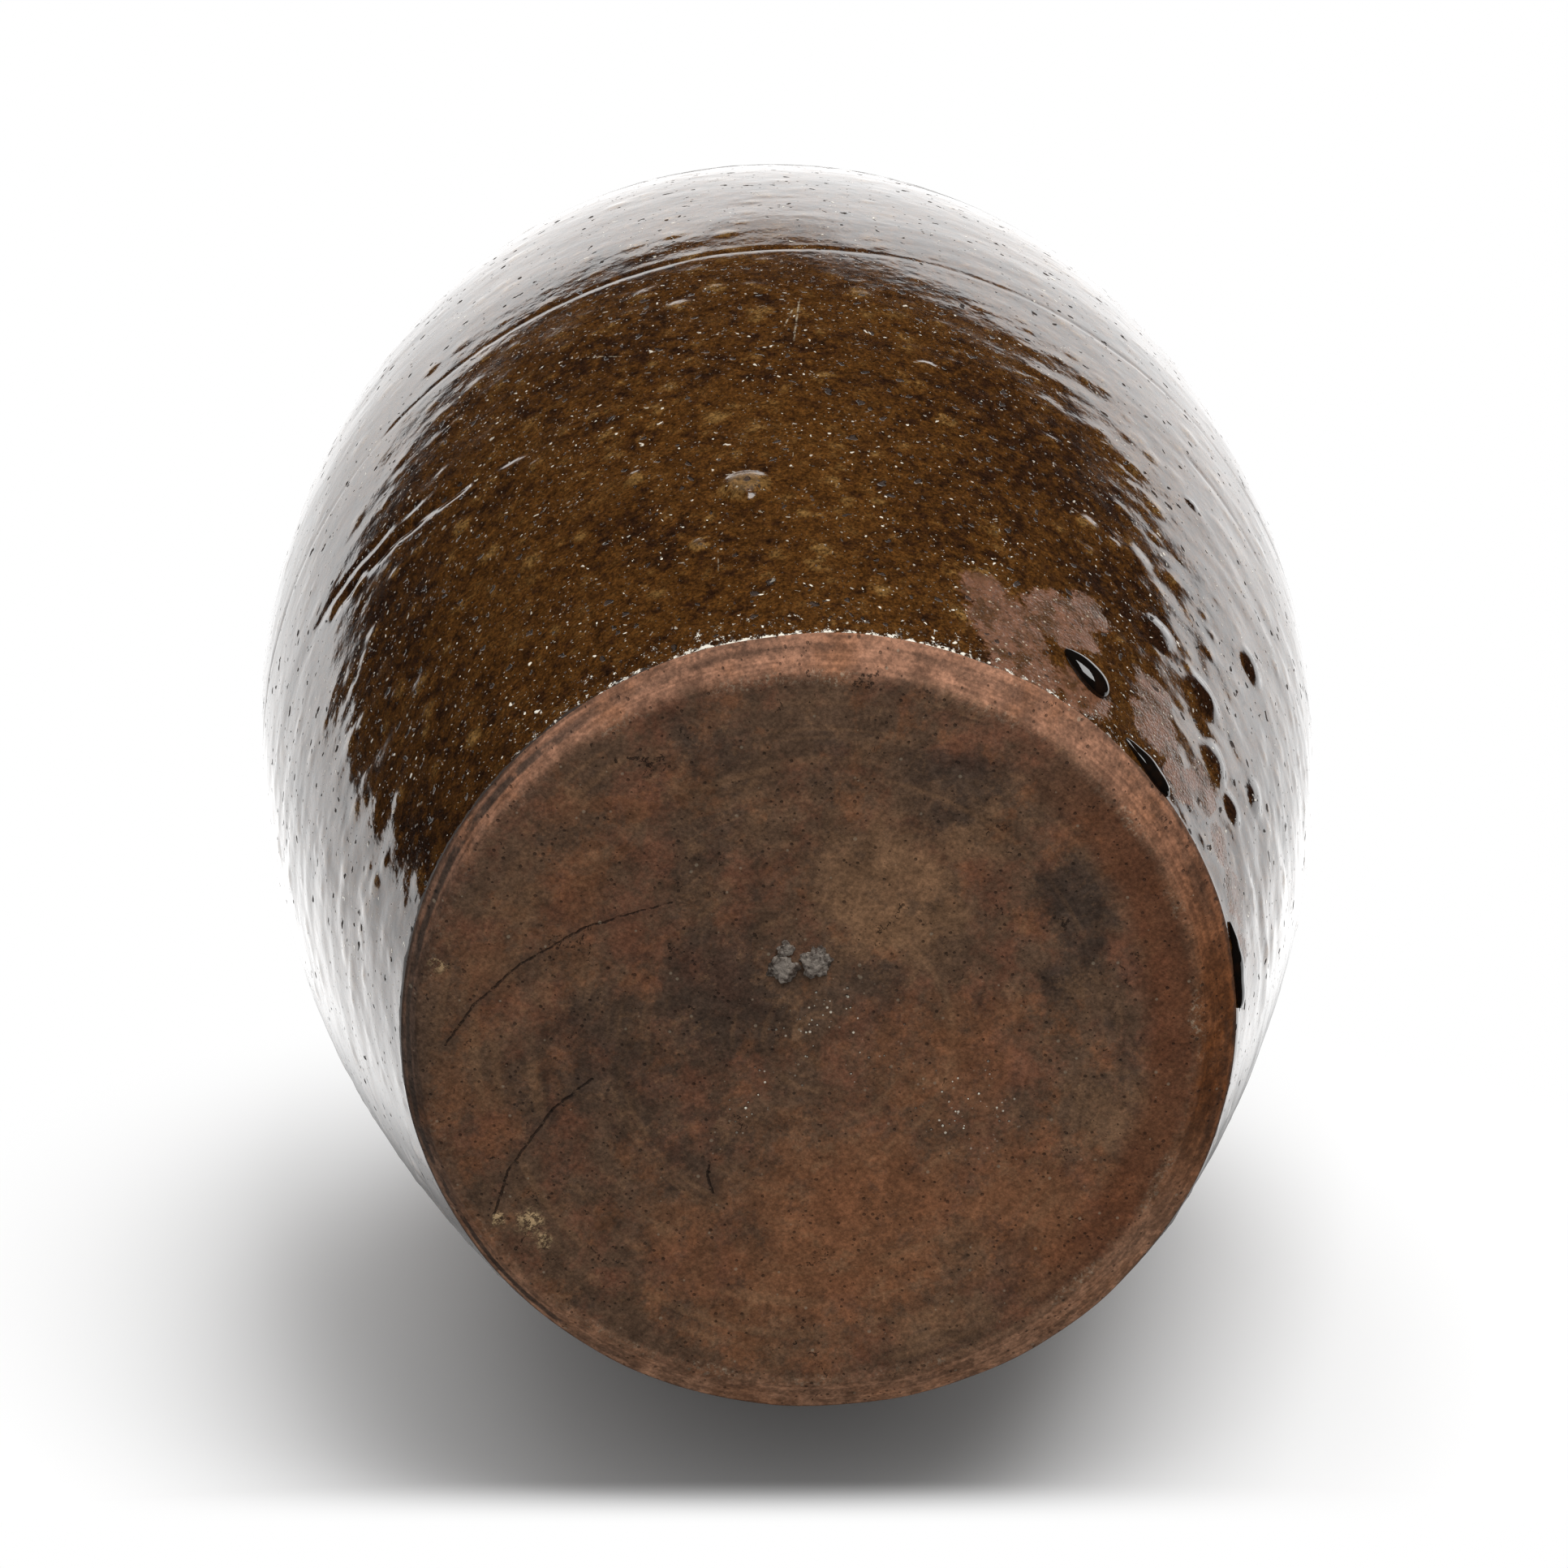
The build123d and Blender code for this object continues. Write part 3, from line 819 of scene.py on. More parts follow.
def fused(shape, voxel, passes, shift):
    """Joins overlapping forms into one soft skin, as clay pressed together, and roughens it."""
    mesh = bpy.data.meshes.new("fusing")
    shape.to_mesh(mesh)
    shape.free()
    holder = bpy.data.objects.new("fusing", mesh)
    bpy.context.scene.collection.objects.link(holder)
    remesh = holder.modifiers.new("Remesh", "REMESH")
    remesh.mode = "VOXEL"
    remesh.voxel_size = voxel
    whole = holder.evaluated_get(bpy.context.evaluated_depsgraph_get())
    joined = bmesh.new()
    joined.from_mesh(whole.to_mesh())
    whole.to_mesh_clear()
    bpy.data.objects.remove(holder)
    bpy.data.meshes.remove(mesh)
    every_way = {f"use_axis_{axis}": True for axis in "xyz"}
    for _ in range(passes):
        bmesh.ops.smooth_vert(joined, verts=joined.verts, factor=0.5, **every_way)
    joined.normal_update()
    for vert in joined.verts:
        spot = vert.co + shift
        stand = 0.30 * mm * noise.noise(spot * 110) + 0.10 * mm * noise.noise(spot * 300) - 0.1 * mm
        vert.co += vert.normal * stand
    return joined


class MARTABAN_OT_lugs(bpy.types.Operator):
    """Press the four cord lugs onto the shoulder"""

    bl_idname = "martaban.lugs"
    bl_label = "Lugs"

    def execute(self, context):
        for number in range(4):
            shape = lug_shape(context.scene.jar_sizes, context.scene.jar_surface, number)
            turn = Matrix.Rotation(math.tau * number / 4, 4, "Z")
            bmesh.ops.transform(shape, matrix=turn, verts=shape.verts)
            add_piece(shape, f"lug_{number + 1}", "glazed", (brown_glaze(),), 80)
        return {"FINISHED"}


class MARTABAN_OT_glaze_drops(bpy.types.Operator):
    """Let the thick drops of glaze run down to the foot"""

    bl_idname = "martaban.glaze_drops"
    bl_label = "Glaze drops"

    def execute(self, context):
        sizes = context.scene.jar_sizes
        shape = bmesh.new()
        for degrees, height, width, length, lean in drop_rows:
            verts = bmesh.ops.create_uvsphere(shape, u_segments=40, v_segments=32, radius=1)["verts"]
            tilt = Matrix.Rotation(math.radians(lean), 2)
            climb = outward(sizes, height * mm)[0]
            for vert in verts:
                tail = (vert.co.z + 1) / 2
                narrow = (1 - 0.45 * tail**1.5) * width / 2 * mm
                around, up = tilt @ Vector((vert.co.x * narrow, vert.co.z * length / 2 * mm))
                at_height = max(height * mm + up * climb, sizes.foot_edge_height)
                turn = degrees + math.degrees(around / wall_radius(sizes, at_height))
                stand = vert.co.y * narrow * 0.62 + 0.12 * narrow
                vert.co = turned_place(turn, at_height, sizes, stand)
        bmesh.ops.remove_doubles(shape, verts=shape.verts, dist=0.001 * mm)
        bmesh.ops.recalc_face_normals(shape, faces=shape.faces)
        for vert in shape.verts:
            vert.co += vert.normal * 0.25 * mm * noise.noise(vert.co * 240)
        add_piece(shape, "glaze_drops", "glassy", (dark_drops(),), 80)
        return {"FINISHED"}


class MARTABAN_OT_kiln_grit(bpy.types.Operator):
    """Stick the kiln grit into the hollow under the base"""

    bl_idname = "martaban.kiln_grit"
    bl_label = "Kiln grit"

    def execute(self, context):
        sizes = context.scene.jar_sizes
        low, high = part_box("kiln_grit")
        shape = bmesh.new()
        random.seed(seed)
        for across, along, share in grit_rows:
            verts = bmesh.ops.create_icosphere(shape, subdivisions=5, radius=1)["verts"]
            reach = 0.30 * (high.x - low.x) * share
            shift = Vector((random.uniform(0, 9), random.uniform(0, 9), 0))
            for vert in verts:
                rough = 0.55 * noise.noise(vert.co * 1.3 + shift) + 0.22 * noise.noise(vert.co * 4 + shift)
                vert.co *= 1 + rough
                vert.co.z = held(vert.co.z, -0.8, 0.62 + 0.25 * noise.noise(vert.co * 3 + shift))
            centre = (low + high) / 2 + Vector((across * (high.x - low.x), along * (high.y - low.y), 0)) / 2
            centre.z = sizes.dish_depth * (1 - (centre.xy.length / sizes.ring_inner_radius) ** 2)
            place = Matrix.Translation(centre) @ Matrix.Diagonal((reach, reach, mm, 1))
            bmesh.ops.transform(shape, matrix=place, verts=verts)
        bmesh.ops.recalc_face_normals(shape, faces=shape.faces)
        for vert in shape.verts:
            vert.co += vert.normal * 0.18 * mm * noise.noise(vert.co * 900)
            vert.co.z = max(vert.co.z, low.z)
        add_piece(shape, "kiln_grit", "crumbs", (kiln_grit(),), 80)
        return {"FINISHED"}


def is_wide(item):
    """Whether an operand is a vector or a colour rather than one value."""
    return getattr(item, "wide", isinstance(item, (tuple, Vector)))


class Field:
    """An output of a shader node: a value, a vector or a colour that differs from place to place."""

    def __init__(self, tree, socket):
        self.tree = tree
        self.socket = socket
        self.wide = socket.type in ("VECTOR", "RGBA")

    def joined(self, operation, *others):
        """The result of a math node, or of a vector math node where any part is wide."""
        inputs = dict(enumerate((self, *others)))
        if not any(is_wide(item) for item in inputs.values()):
            return self.tree.field("ShaderNodeMath", inputs, operation=operation)
        output = "Value" if operation in ("DOT_PRODUCT", "LENGTH", "DISTANCE") else "Vector"
        return self.tree.field("ShaderNodeVectorMath", inputs, output, operation=operation)

    def __add__(self, other):
        return self.joined("ADD", other)

    def __sub__(self, other):
        return self.joined("SUBTRACT", other)

    def __rsub__(self, other):
        return self * -1 + other

    def __mul__(self, other):
        if is_wide(self) and not is_wide(other):
            inputs = {0: self, "Scale": other}
            return self.tree.field("ShaderNodeVectorMath", inputs, operation="SCALE")
        return self.joined("MULTIPLY", other)

    def __truediv__(self, other):
        return self.joined("DIVIDE", other)

    def __pow__(self, other):
        return self.joined("POWER", other)

    def __abs__(self):
        return self.joined("ABSOLUTE")

    def at_least(self, other):
        return self.joined("MAXIMUM", other)

    def dot(self, other):
        return self.joined("DOT_PRODUCT", other)

    def distance(self, other):
        return self.joined("DISTANCE", other)

    def length(self):
        return self.joined("LENGTH")

    def split(self):
        node = self.tree.add("ShaderNodeSeparateXYZ", {0: self})
        return [Field(self.tree, output) for output in node.outputs]

    def flat(self):
        """The same vector without its height."""
        across, along, _ = self.split()
        return self.tree.field("ShaderNodeCombineXYZ", {0: across, 1: along})

    def noise(self, scale, detail=3.0, roughness=0.55, output="Fac"):
        inputs = {"Vector": self, "Scale": scale, "Detail": detail, "Roughness": roughness}
        return self.tree.field("ShaderNodeTexNoise", inputs, output)

    def shaken(self, reach, scale, detail=3.0, roughness=0.55):
        """The same vector, pushed about at random by up to half of reach."""
        return self + (self.noise(scale, detail, roughness, "Color") - (0.5,) * 3) * reach

    def ramp(self, low, high, bottom=0.0, top=1.0, smooth=True):
        inputs = {"Value": self, "From Min": low, "From Max": high, "To Min": bottom, "To Max": top}
        kind = "SMOOTHSTEP" if smooth else "LINEAR"
        return self.tree.field("ShaderNodeMapRange", inputs, interpolation_type=kind)

    def mix(self, first, second):
        """The first colour where this mask is 0 and the second where it is 1."""
        inputs = {0: self, 6: first, 7: second}
        for number in (6, 7):
            if not isinstance(inputs[number], Field):
                inputs[number] = (*inputs[number], 1)
        return self.tree.field("ShaderNodeMix", inputs, 2, data_type="RGBA")


class Tree:
    """Short ways to add and join the nodes of a material, a group or the world."""

    def __init__(self, tree):
        self.tree = tree

    def add(self, kind, inputs=None, **settings):
        node = self.tree.nodes.new(kind)
        for name, value in settings.items():
            setattr(node, name, value)
        for name, value in (inputs or {}).items():
            value = getattr(value, "socket", value)
            if isinstance(value, bpy.types.NodeSocket):
                self.tree.links.new(value, node.inputs[name])
            else:
                node.inputs[name].default_value = value
        return node

    def field(self, kind, inputs=None, output=0, **settings):
        return Field(self, self.add(kind, inputs, **settings).outputs[output])


def brightest(masks):
    whole = masks[0]
    for mask in masks[1:]:
        whole = whole.at_least(mask)
    return whole


def toned(base, vector, scale, low, high, detail=5.0):
    """The same colour, darker and lighter from spot to spot."""
    return base * vector.noise(scale, detail, 0.65).ramp(0.32, 0.68, low, high, smooth=False)


def shared_group(name, output, **sockets):
    """Turns a function of fields into a shader group, made once and placed at each call."""

    def make(fill):
        def place(first, *others):
            if name not in bpy.data.node_groups:
                group = bpy.data.node_groups.new(name, "ShaderNodeTree")
                for label, kind in sockets.items():
                    group.interface.new_socket(label, in_out="INPUT", socket_type=kind)
                group.interface.new_socket(output, in_out="OUTPUT", socket_type="NodeSocketFloat")
                tree = Tree(group)
                given = tree.add("NodeGroupInput").outputs
                result = fill(*[Field(tree, given[label]) for label in sockets])
                tree.add("NodeGroupOutput", {0: result})
            inputs = dict(enumerate((first, *others)))
            return first.tree.field("ShaderNodeGroup", inputs, node_tree=bpy.data.node_groups[name])

        return place

    return make


a_vector, a_value = "NodeSocketVector", "NodeSocketFloat"


@shared_group("Soft spot", "Mask", Vector=a_vector, Place=a_vector, Reach=a_value)
def soft_spot(vector, place, reach):
    """A round soft spot about a place: 1 in its middle and 0 past its reach."""
    return (vector.distance(place) / reach).ramp(0.25, 1.0, 1.0, 0.0)


@shared_group("Line mark", "Mask", Vector=a_vector, Start=a_vector, End=a_vector, Width=a_value)
def line_mark(vector, start, end, width):
    """A thin line between two places: 1 on the line and 0 beside it."""
    to_point, to_end = vector - start, end - start
    share = (to_point.dot(to_end) / to_end.dot(to_end)).ramp(0, 1, smooth=False)
    return (to_point.distance(to_end * share) / width).ramp(0.3, 1.0, 1.0, 0.0)


@shared_group("Specks", "Mask", Vector=a_vector, Scale=a_value, Size=a_value, Share=a_value)
def specks(vector, scale, size, share):
    """Scattered round specks: a share of the cells holds one, of differing sizes."""
    tree = vector.tree
    cells = tree.add("ShaderNodeTexVoronoi", {"Vector": vector, "Scale": scale}).outputs
    first, second = Field(tree, cells["Color"]).split()[:2]
    radius = size * second.ramp(0, 1, 0.45, 1.0)
    inside = (Field(tree, cells["Distance"]) / radius).ramp(0.6, 1.0, 1.0, 0.0)
    return inside * first.joined("LESS_THAN", share)


@shared_group("Turning lines", "Value", Vector=a_vector, Fineness=a_value)
def turning_lines(vector, fineness):
    """Fine lines left by turning on the wheel, round the jar's own axis."""
    across, _, rise = vector.split()
    inputs = {0: vector.flat().length() * fineness, 1: across * 14.0, 2: rise * fineness}
    return vector.tree.field("ShaderNodeCombineXYZ", inputs).noise(1.0, 2.0)


def new_material(name):
    """An empty material, and where its places are on the jar."""
    material = bpy.data.materials.new(name)
    material.use_nodes = True
    material.node_tree.nodes.clear()
    return material, Tree(material.node_tree).field("ShaderNodeTexCoord", output="Object")


def kept_material(name):
    """Turns a function that fills a material's tree into one that makes it once and keeps it."""

    def make(fill):
        def ask():
            if name not in bpy.data.materials:
                fill(new_material(name)[1], bpy.context.scene.jar_colours)
            return bpy.data.materials[name]

        return ask

    return make


def close_material(base, roughness, height, ior=1.5, specular=0.5):
    """Joins a colour, a roughness and a relief height in metres to the surface shader."""
    tree = base.tree
    bump = tree.field("ShaderNodeBump", {"Height": height, "Distance": 1.0, "Strength": 1.0})
    inputs = {
        "Base Color": base,
        "Roughness": roughness,
        "Normal": bump,
        "IOR": ior,
        "Specular IOR Level": specular,
    }
    shader = tree.field("ShaderNodeBsdfPrincipled", inputs)
    tree.add("ShaderNodeOutputMaterial", {"Surface": shader})


def mottled_glaze(coords, swell, colours):
    """The glaze's browns: dark where it is thick and pale on the soft lumps."""
    curds = (coords + (0.4, 0.9, 0.2)).noise(330, 3, 0.6)
    depth = coords.noise(210, 6, 0.74) * 0.46 + coords.noise(24, 3) * 0.29 + curds * 0.30
    flecked = swell * coords.noise(420, 4, 0.7).ramp(0.38, 0.60, 0.35, 1.35)
    depth = depth + flecked * 0.40
    base = depth.ramp(0.43, 0.57).mix(colours.glaze_dark, colours.glaze)
    base = depth.ramp(0.55, 0.82, 0, 0.85).mix(base, colours.glaze_light)
    base = toned(base, coords, 700, 0.60, 1.32, 3.0)
    return toned(base, coords, 1500, 0.42, 1.56, 2.0)


def scratches(coords, sizes):
    """Thin broken scratches in the glaze."""
    lines = []
    for turn, height, end_turn, end_height in scratch_rows:
        start = turned_place(turn, height * mm, sizes)
        end = turned_place(end_turn, end_height * mm, sizes)
        lines.append(line_mark(coords, start, end, 0.32 * mm))
    return brightest(lines) * coords.noise(700, 1).ramp(0.42, 0.6)


def thin_glaze(coords, loose, sizes):
    """Frayed patches near the foot where clay shows through the glaze."""
    spots = []
    for turn, height, reach in thin_glaze_rows:
        spots.append(soft_spot(loose, turned_place(turn, height * mm, sizes), reach * mm))
    fray = coords.noise(260, 6, 0.75) * 1.1 + brightest(spots) + coords.noise(900, 2, 0.6) * 0.60
    return fray.ramp(1.08, 1.42)


def glaze_edge(coords):
    """The dark strip under the glaze's lower edge and the crystals along that edge: the strip is scorched
    clay, widened on the left by painted shade.
    """
    across, along, rise = coords.split()
    from_top = along.joined("ARCTAN2", across) + math.radians(45)
    white_side = abs(from_top).ramp(0.28, 0.42, 1, 0)
    few_side = abs(from_top).ramp(0.5, 1.3, 0.10, -0.04)
    # Painted shade: the dark strip reaches higher on the left side
    shade_widening = (from_top.joined("SINE") * (-1.3 * mm)).at_least(0.0)
    wave = coords.noise(240, 3, 0.6) * (2.6 * mm) + rise - shade_widening
    strip = wave.ramp(6.9 * mm, 7.5 * mm, 1.0, 0.0) * white_side.ramp(0, 1, 1.0, 0.25)
    crowded = wave.ramp(7.3 * mm, 9.2 * mm, 0.16, 0.0) * white_side.ramp(0, 1, 0.35, 1.0)
    crowded = crowded + few_side * wave.ramp(9 * mm, 22 * mm, 1, 0)
    crystals = (coords.noise(640, 4, 0.72) + crowded).ramp(0.70, 0.76)
    return strip, crystals * wave.ramp(6.6 * mm, 7.2 * mm)


@kept_material("Brown glaze")
def brown_glaze(coords, colours):
    """Glossy dark brown glaze: mottled, lumpy, pitted, specked and thin near the foot."""
    sizes = bpy.context.scene.jar_sizes
    loose = coords.shaken(8 * mm, 130)
    swell = coords.tree.field("ShaderNodeAttribute", output="Fac", attribute_name="swell")
    base = mottled_glaze(coords, swell, colours)

    near_foot = coords.split()[2].ramp(10 * mm, 90 * mm, 1.0, 0.0)
    sparse = coords.noise(40, 2).ramp(0.38, 0.56, 0.15, 1.0)
    speckled = sparse * near_foot.ramp(0, 1, 0.70, 1.0)
    fine = specks(loose, 950.0, 0.26, 0.34)
    # Painted highlight: the larger specks are burst bubbles painted near-white, partly their own pale
    # colour and partly their glints
    glint_specks = specks(loose, 430.0, 0.20, 0.50)
    base = (fine * speckled * 0.6).mix(base, colours.speck)
    base = (glint_specks * speckled).mix(base, colours.bubble_and_glint)
    base = (scratches(coords, sizes) * 0.42).mix(base, colours.speck)

    thin = thin_glaze(coords, loose, sizes)
    blotch = loose.noise(180, 6, 0.7).ramp(0.42, 0.62)
    thin_colour = toned(blotch.mix(colours.thin_glaze, colours.glaze), coords, 900, 0.62, 1.42)
    glitter = specks(coords, 900.0, 0.34, 0.34)
    thin_colour = (glitter * 0.65).mix(thin_colour, colours.speck)
    base = (thin * 0.92).mix(base, thin_colour)

    strip, crystals = glaze_edge(coords)
    # The dark strip: scorched clay, widened on the left by painted shade
    base = strip.mix(base, colours.edge_dirt_and_shade)
    base = crystals.mix(base, colours.glaze_edge)

    pits = specks(loose, 250.0, 0.24, 0.50)
    small_pits = specks(coords, 620.0, 0.26, 0.22)
    pitted = pits.at_least(small_pits * 0.6)
    # Painted shade: the pits are darkened with the thick-glaze brown
    base = (pitted * 0.8).mix(base, colours.glaze_dark)

    raised = crystals.at_least((fine * 0.6).at_least(glint_specks) * speckled)
    height = coords.noise(230, 2) * (0.10 * mm) + coords.noise(1000, 2) * (0.014 * mm)
    height = height + pits * (-0.85 * mm) + small_pits * (-0.16 * mm) + raised * (0.16 * mm)
    height = height + thin * (coords.noise(1300, 2) - 0.5) * (0.20 * mm)
    rough = coords.noise(70, 3).ramp(0.3, 0.7, 0.07, 0.13) + swell.ramp(0.60, 1.00, 0, 0.24)
    rough = rough + pitted * 0.75 + thin * 0.20 + strip * 0.45
    close_material(base, rough, height, ior=1.6)


@kept_material("Inner glaze")
def inner_glaze(coords, colours):
    """Thin even glaze inside the jar, with throwing rings showing through."""
    rings = turning_lines(coords, 260.0)
    blotches = coords.noise(60, 4)
    base = blotches.ramp(0.35, 0.65).mix(colours.inner, colours.glaze)
    base = rings.ramp(0.55, 0.75, 0, 0.5).mix(base, colours.glaze_dark)
    height = coords.noise(300, 2) * (0.06 * mm) + rings * (0.2 * mm)
    close_material(base, blotches.ramp(0.3, 0.7, 0.30, 0.42), height)


@kept_material("Dark drops")
def dark_drops(coords, colours):
    """Thick black-brown glassy glaze."""
    base = coords.noise(260, 2).ramp(0.45, 0.7, 0, 0.35).mix(colours.drop, colours.glaze_dark)
    height = coords.noise(500, 2) * (0.02 * mm)
    close_material(base, coords.noise(200, 2).ramp(0.3, 0.7, 0.04, 0.09), height, ior=1.6)


def frayed(mask, vector, scale):
    """A soft mask broken up along its edge and thinned in places."""
    grain = vector.noise(scale, 8, 0.78).ramp(0.42, 0.58, -0.30, 0.30)
    return mask * (mask + grain).ramp(0.12, 0.50, 0.15, 1.0)


def spots_of(vector, rows):
    """Mask of placed clouds under the base, each as strong as its row says."""
    masks = []
    for across, along, reach, share in rows:
        masks.append(soft_spot(vector, (across * mm, along * mm, 0), reach * mm) * share)
    return brightest(masks)


def clouded_clay(flat, loose, shade, colours):
    """The base's browns: red, orange, tan and charcoal clouds, and streaks left by wiping."""
    base = shade.ramp(0.36, 0.54).mix(colours.clay_red, colours.clay)
    orange = frayed(spots_of(loose, orange_rows), flat, 90)
    base = orange.mix(base, colours.clay_orange)
    rust = (flat + (0.7, 0.2, 0)).noise(70, 8, 0.75).ramp(0.52, 0.62, 0, 0.5)
    base = rust.mix(base, colours.clay_orange)
    tan = frayed(spots_of(loose, tan_rows), flat + (0.5, 0.5, 0), 120)
    base = tan.mix(base, colours.clay_tan)
    dark = frayed(spots_of(loose, charcoal_rows), flat + (0.2, 0.8, 0), 150)
    base = dark.mix(base, colours.charcoal)
    patches = flat.noise(80, 8, 0.8).ramp(0.52, 0.64, 0, 0.5)
    base = patches.mix(base, colours.charcoal)
    bright = (flat + (0.3, 0.1, 0)).noise(95, 8, 0.8).ramp(0.53, 0.64, 0, 0.5)
    base = bright.mix(base, colours.clay_tan)
    wiped = turning_lines(flat, 300.0).ramp(0.50, 0.66) * flat.noise(50, 3).ramp(0.42, 0.6, 0, 0.45)
    return wiped.mix(base, colours.clay_tan)


def bevelled_clay(coords, leftward, topward, turning, coarse_turning, colours):
    """The bevel's browns, which differ from side to side, scorched and streaked by turning."""
    sides = leftward.ramp(-0.75, 0.7).mix(colours.bevel_right, colours.bevel_left)
    base = topward.ramp(0.0, 0.85).mix(sides, colours.bevel_top)
    base = topward.ramp(-0.15, -0.65).mix(base, colours.bevel_bottom)
    base = coords.noise(60, 5, 0.65).ramp(0.44, 0.66, 0, 0.55).mix(base, colours.clay_orange)
    base = base * (turning + coords.noise(260, 4, 0.7)).ramp(0.86, 1.14, 0.80, 1.18)
    scorch = (coords.noise(110, 7, 0.8) + coarse_turning).ramp(1.04, 1.20, 0, 0.45)
    return scorch.mix(base, colours.clay_dirt)


# What the clay's two noises add to a radius on average
uneven_rim_shift = 3.5 * mm


def soiled_rim(base, bevel_colour, coords, radius, leftward, topward, colours):
    """Adds the rusty band, dirt, bevel and worn line about the ring, and a dark line of painted shade round
    the upper bevel on the left.
    """
    flat, rise = coords.flat(), coords.split()[2]
    ring = bpy.context.scene.jar_sizes.ring_radius + uneven_rim_shift
    rusty = radius.ramp(ring - 14 * mm, ring - 8 * mm) * leftward.ramp(-0.45, -0.85)
    rusty = rusty * radius.ramp(ring - 3 * mm, ring, 0.7, 0)
    base = rusty.mix(base, colours.rust)
    band = radius.ramp(ring - 7 * mm, ring - 2.4 * mm) * radius.ramp(ring - 0.6 * mm, ring + 1.6 * mm, 1, 0)
    dirt = band * flat.noise(170, 6, 0.75).ramp(0.44, 0.60)
    dirt = dirt * (topward - leftward).ramp(0.35, 1.0).ramp(0, 1, 0.15, 0.30)
    base = dirt.mix(base, colours.clay_dirt)
    bevel = radius.ramp(ring - 2.8 * mm, ring + 1.8 * mm)
    base = bevel.mix(base, bevel_colour)
    worn = abs(radius - (ring - 0.6 * mm)).ramp(0.7 * mm, 2.0 * mm, 1, 0)
    worn = worn * coords.noise(900, 5, 0.8).ramp(0.50, 0.62, 0, 0.6)
    worn = worn * flat.noise(60, 3).ramp(0.44, 0.60, 0.1, 1) * leftward.ramp(0.2, 0.8, 1, 0.35)
    base = worn.mix(base, colours.clay_worn)
    dirt = (coords.noise(170, 5, 0.7) * (2.0 * mm) + rise).ramp(5.7 * mm, 6.6 * mm)
    dirt = dirt * topward.ramp(0.6, 0.95, 0.6, 0.1)
    base = dirt.mix(base, colours.clay_dirt)
    # Painted shade: a dark charcoal line round the upper bevel, on the left side only
    shade_line = abs(coords.noise(90, 3) * (1.2 * mm) + rise - 3.9 * mm).ramp(0.5 * mm, 1.1 * mm, 1, 0)
    shade_line = shade_line * leftward.ramp(0.35, 0.75, 0, 0.85)
    shade_line = shade_line * coords.noise(110, 5, 0.7).ramp(0.36, 0.50, 0.2, 1)
    return shade_line.mix(base, colours.charcoal), bevel


def crack_marks(flat):
    """The drying cracks under the base, and the dark haloes about them."""
    near = flat.shaken(1.1 * mm, 420) * (1, 1, 0)
    crack_width, halo_width = 0.34 * mm, 2.6 * mm
    cracks, halos = [], []
    for line in crack_lines:
        for ends in zip(line, line[1:]):
            start, end = ((*(Vector(point) * mm), 0) for point in ends)
            cracks.append(line_mark(near, start, end, crack_width))
            halos.append(line_mark(near, start, end, halo_width))
    broken = flat.noise(420, 4, 0.7).ramp(0.40, 0.54, 0.12, 1.0)
    return brightest(cracks) * broken, brightest(halos)


@kept_material("Bare clay")
def bare_clay(coords, colours):
    """Bare fired clay: clouded, pocked, cracked and worn, with a red-brown bevel."""
    flat = coords.flat()
    loose = flat.shaken(34 * mm, 55, 6, 0.68) * (1, 1, 0)
    shade = flat.noise(48, 7, 0.72)
    base = clouded_clay(flat, loose, shade, colours)

    half = math.sqrt(0.5)
    rightward = flat.dot((half, half, 0))
    # Painted light: the base is made lighter towards its right side and darker towards its left
    base = base * rightward.ramp(-70 * mm, 70 * mm, 0.95, 1.09)
    reach = flat.length().at_least(mm)
    leftward = rightward / reach * -1
    topward = flat.dot((half, -half, 0)) / reach
    spread = leftward.at_least(0.0) ** 1.3 + topward.at_least(0.0) * 0.35
    radius = reach - spread * bpy.context.scene.jar_surface.ring_spread
    uneven = flat.noise(60, 6, 0.7) * (4.6 * mm) + flat.noise(300, 4, 0.7) * (2.4 * mm)
    radius = radius + uneven
    turning, coarse_turning = turning_lines(coords, 900.0), turning_lines(coords, 240.0)
    bevel_colour = bevelled_clay(coords, leftward, topward, turning, coarse_turning, colours)
    base, bevel = soiled_rim(base, bevel_colour, coords, radius, leftward, topward, colours)
    base = toned(base, coords, 130, 0.73, 1.28, 6.0)
    base = toned(base, coords, 420, 0.82, 1.19, 5.0)
    base = toned(base, coords, 1100, 0.70, 1.34, 3.0)

    crack, halo = crack_marks(flat)
    base = (halo * 0.22).mix(base, colours.charcoal)
    base = (crack * 0.75).mix(base, colours.soot)
    pocked = specks(loose, 300.0, 0.17, 0.30).at_least(specks(flat, 760.0, 0.34, 0.26) * 0.8)
    base = (pocked * 0.72).mix(base, colours.soot)
    base = (specks(flat, 520.0, 0.26, 0.10) * 0.45).mix(base, colours.clay_worn)
    flecked = spots_of(flat, fleck_rows) * flat.noise(160, 3).ramp(0.42, 0.52)
    base = (specks(flat, 760.0, 0.26, 0.70) * flecked).mix(base, colours.bubble_and_glint)
    scattered = flat.shaken(5 * mm, 420) * (1, 1, 0)
    crumbled = spots_of(scattered, crumb_rows) * coords.noise(650, 4, 0.75).ramp(0.42, 0.54)
    base = crumbled.mix(base, colours.cream)

    height = flat.noise(260, 5, 0.65) * (0.34 * mm) + coords.noise(1200, 4, 0.65) * (0.12 * mm)
    height = height + coarse_turning * (0.10 * mm) + bevel * turning * (0.10 * mm)
    height = height + pocked * (-0.22 * mm) + crack * (-0.3 * mm) + crumbled * (0.5 * mm)
    close_material(base, shade.ramp(0.3, 0.7, 0.74, 0.90), height, ior=1.45, specular=0.15)


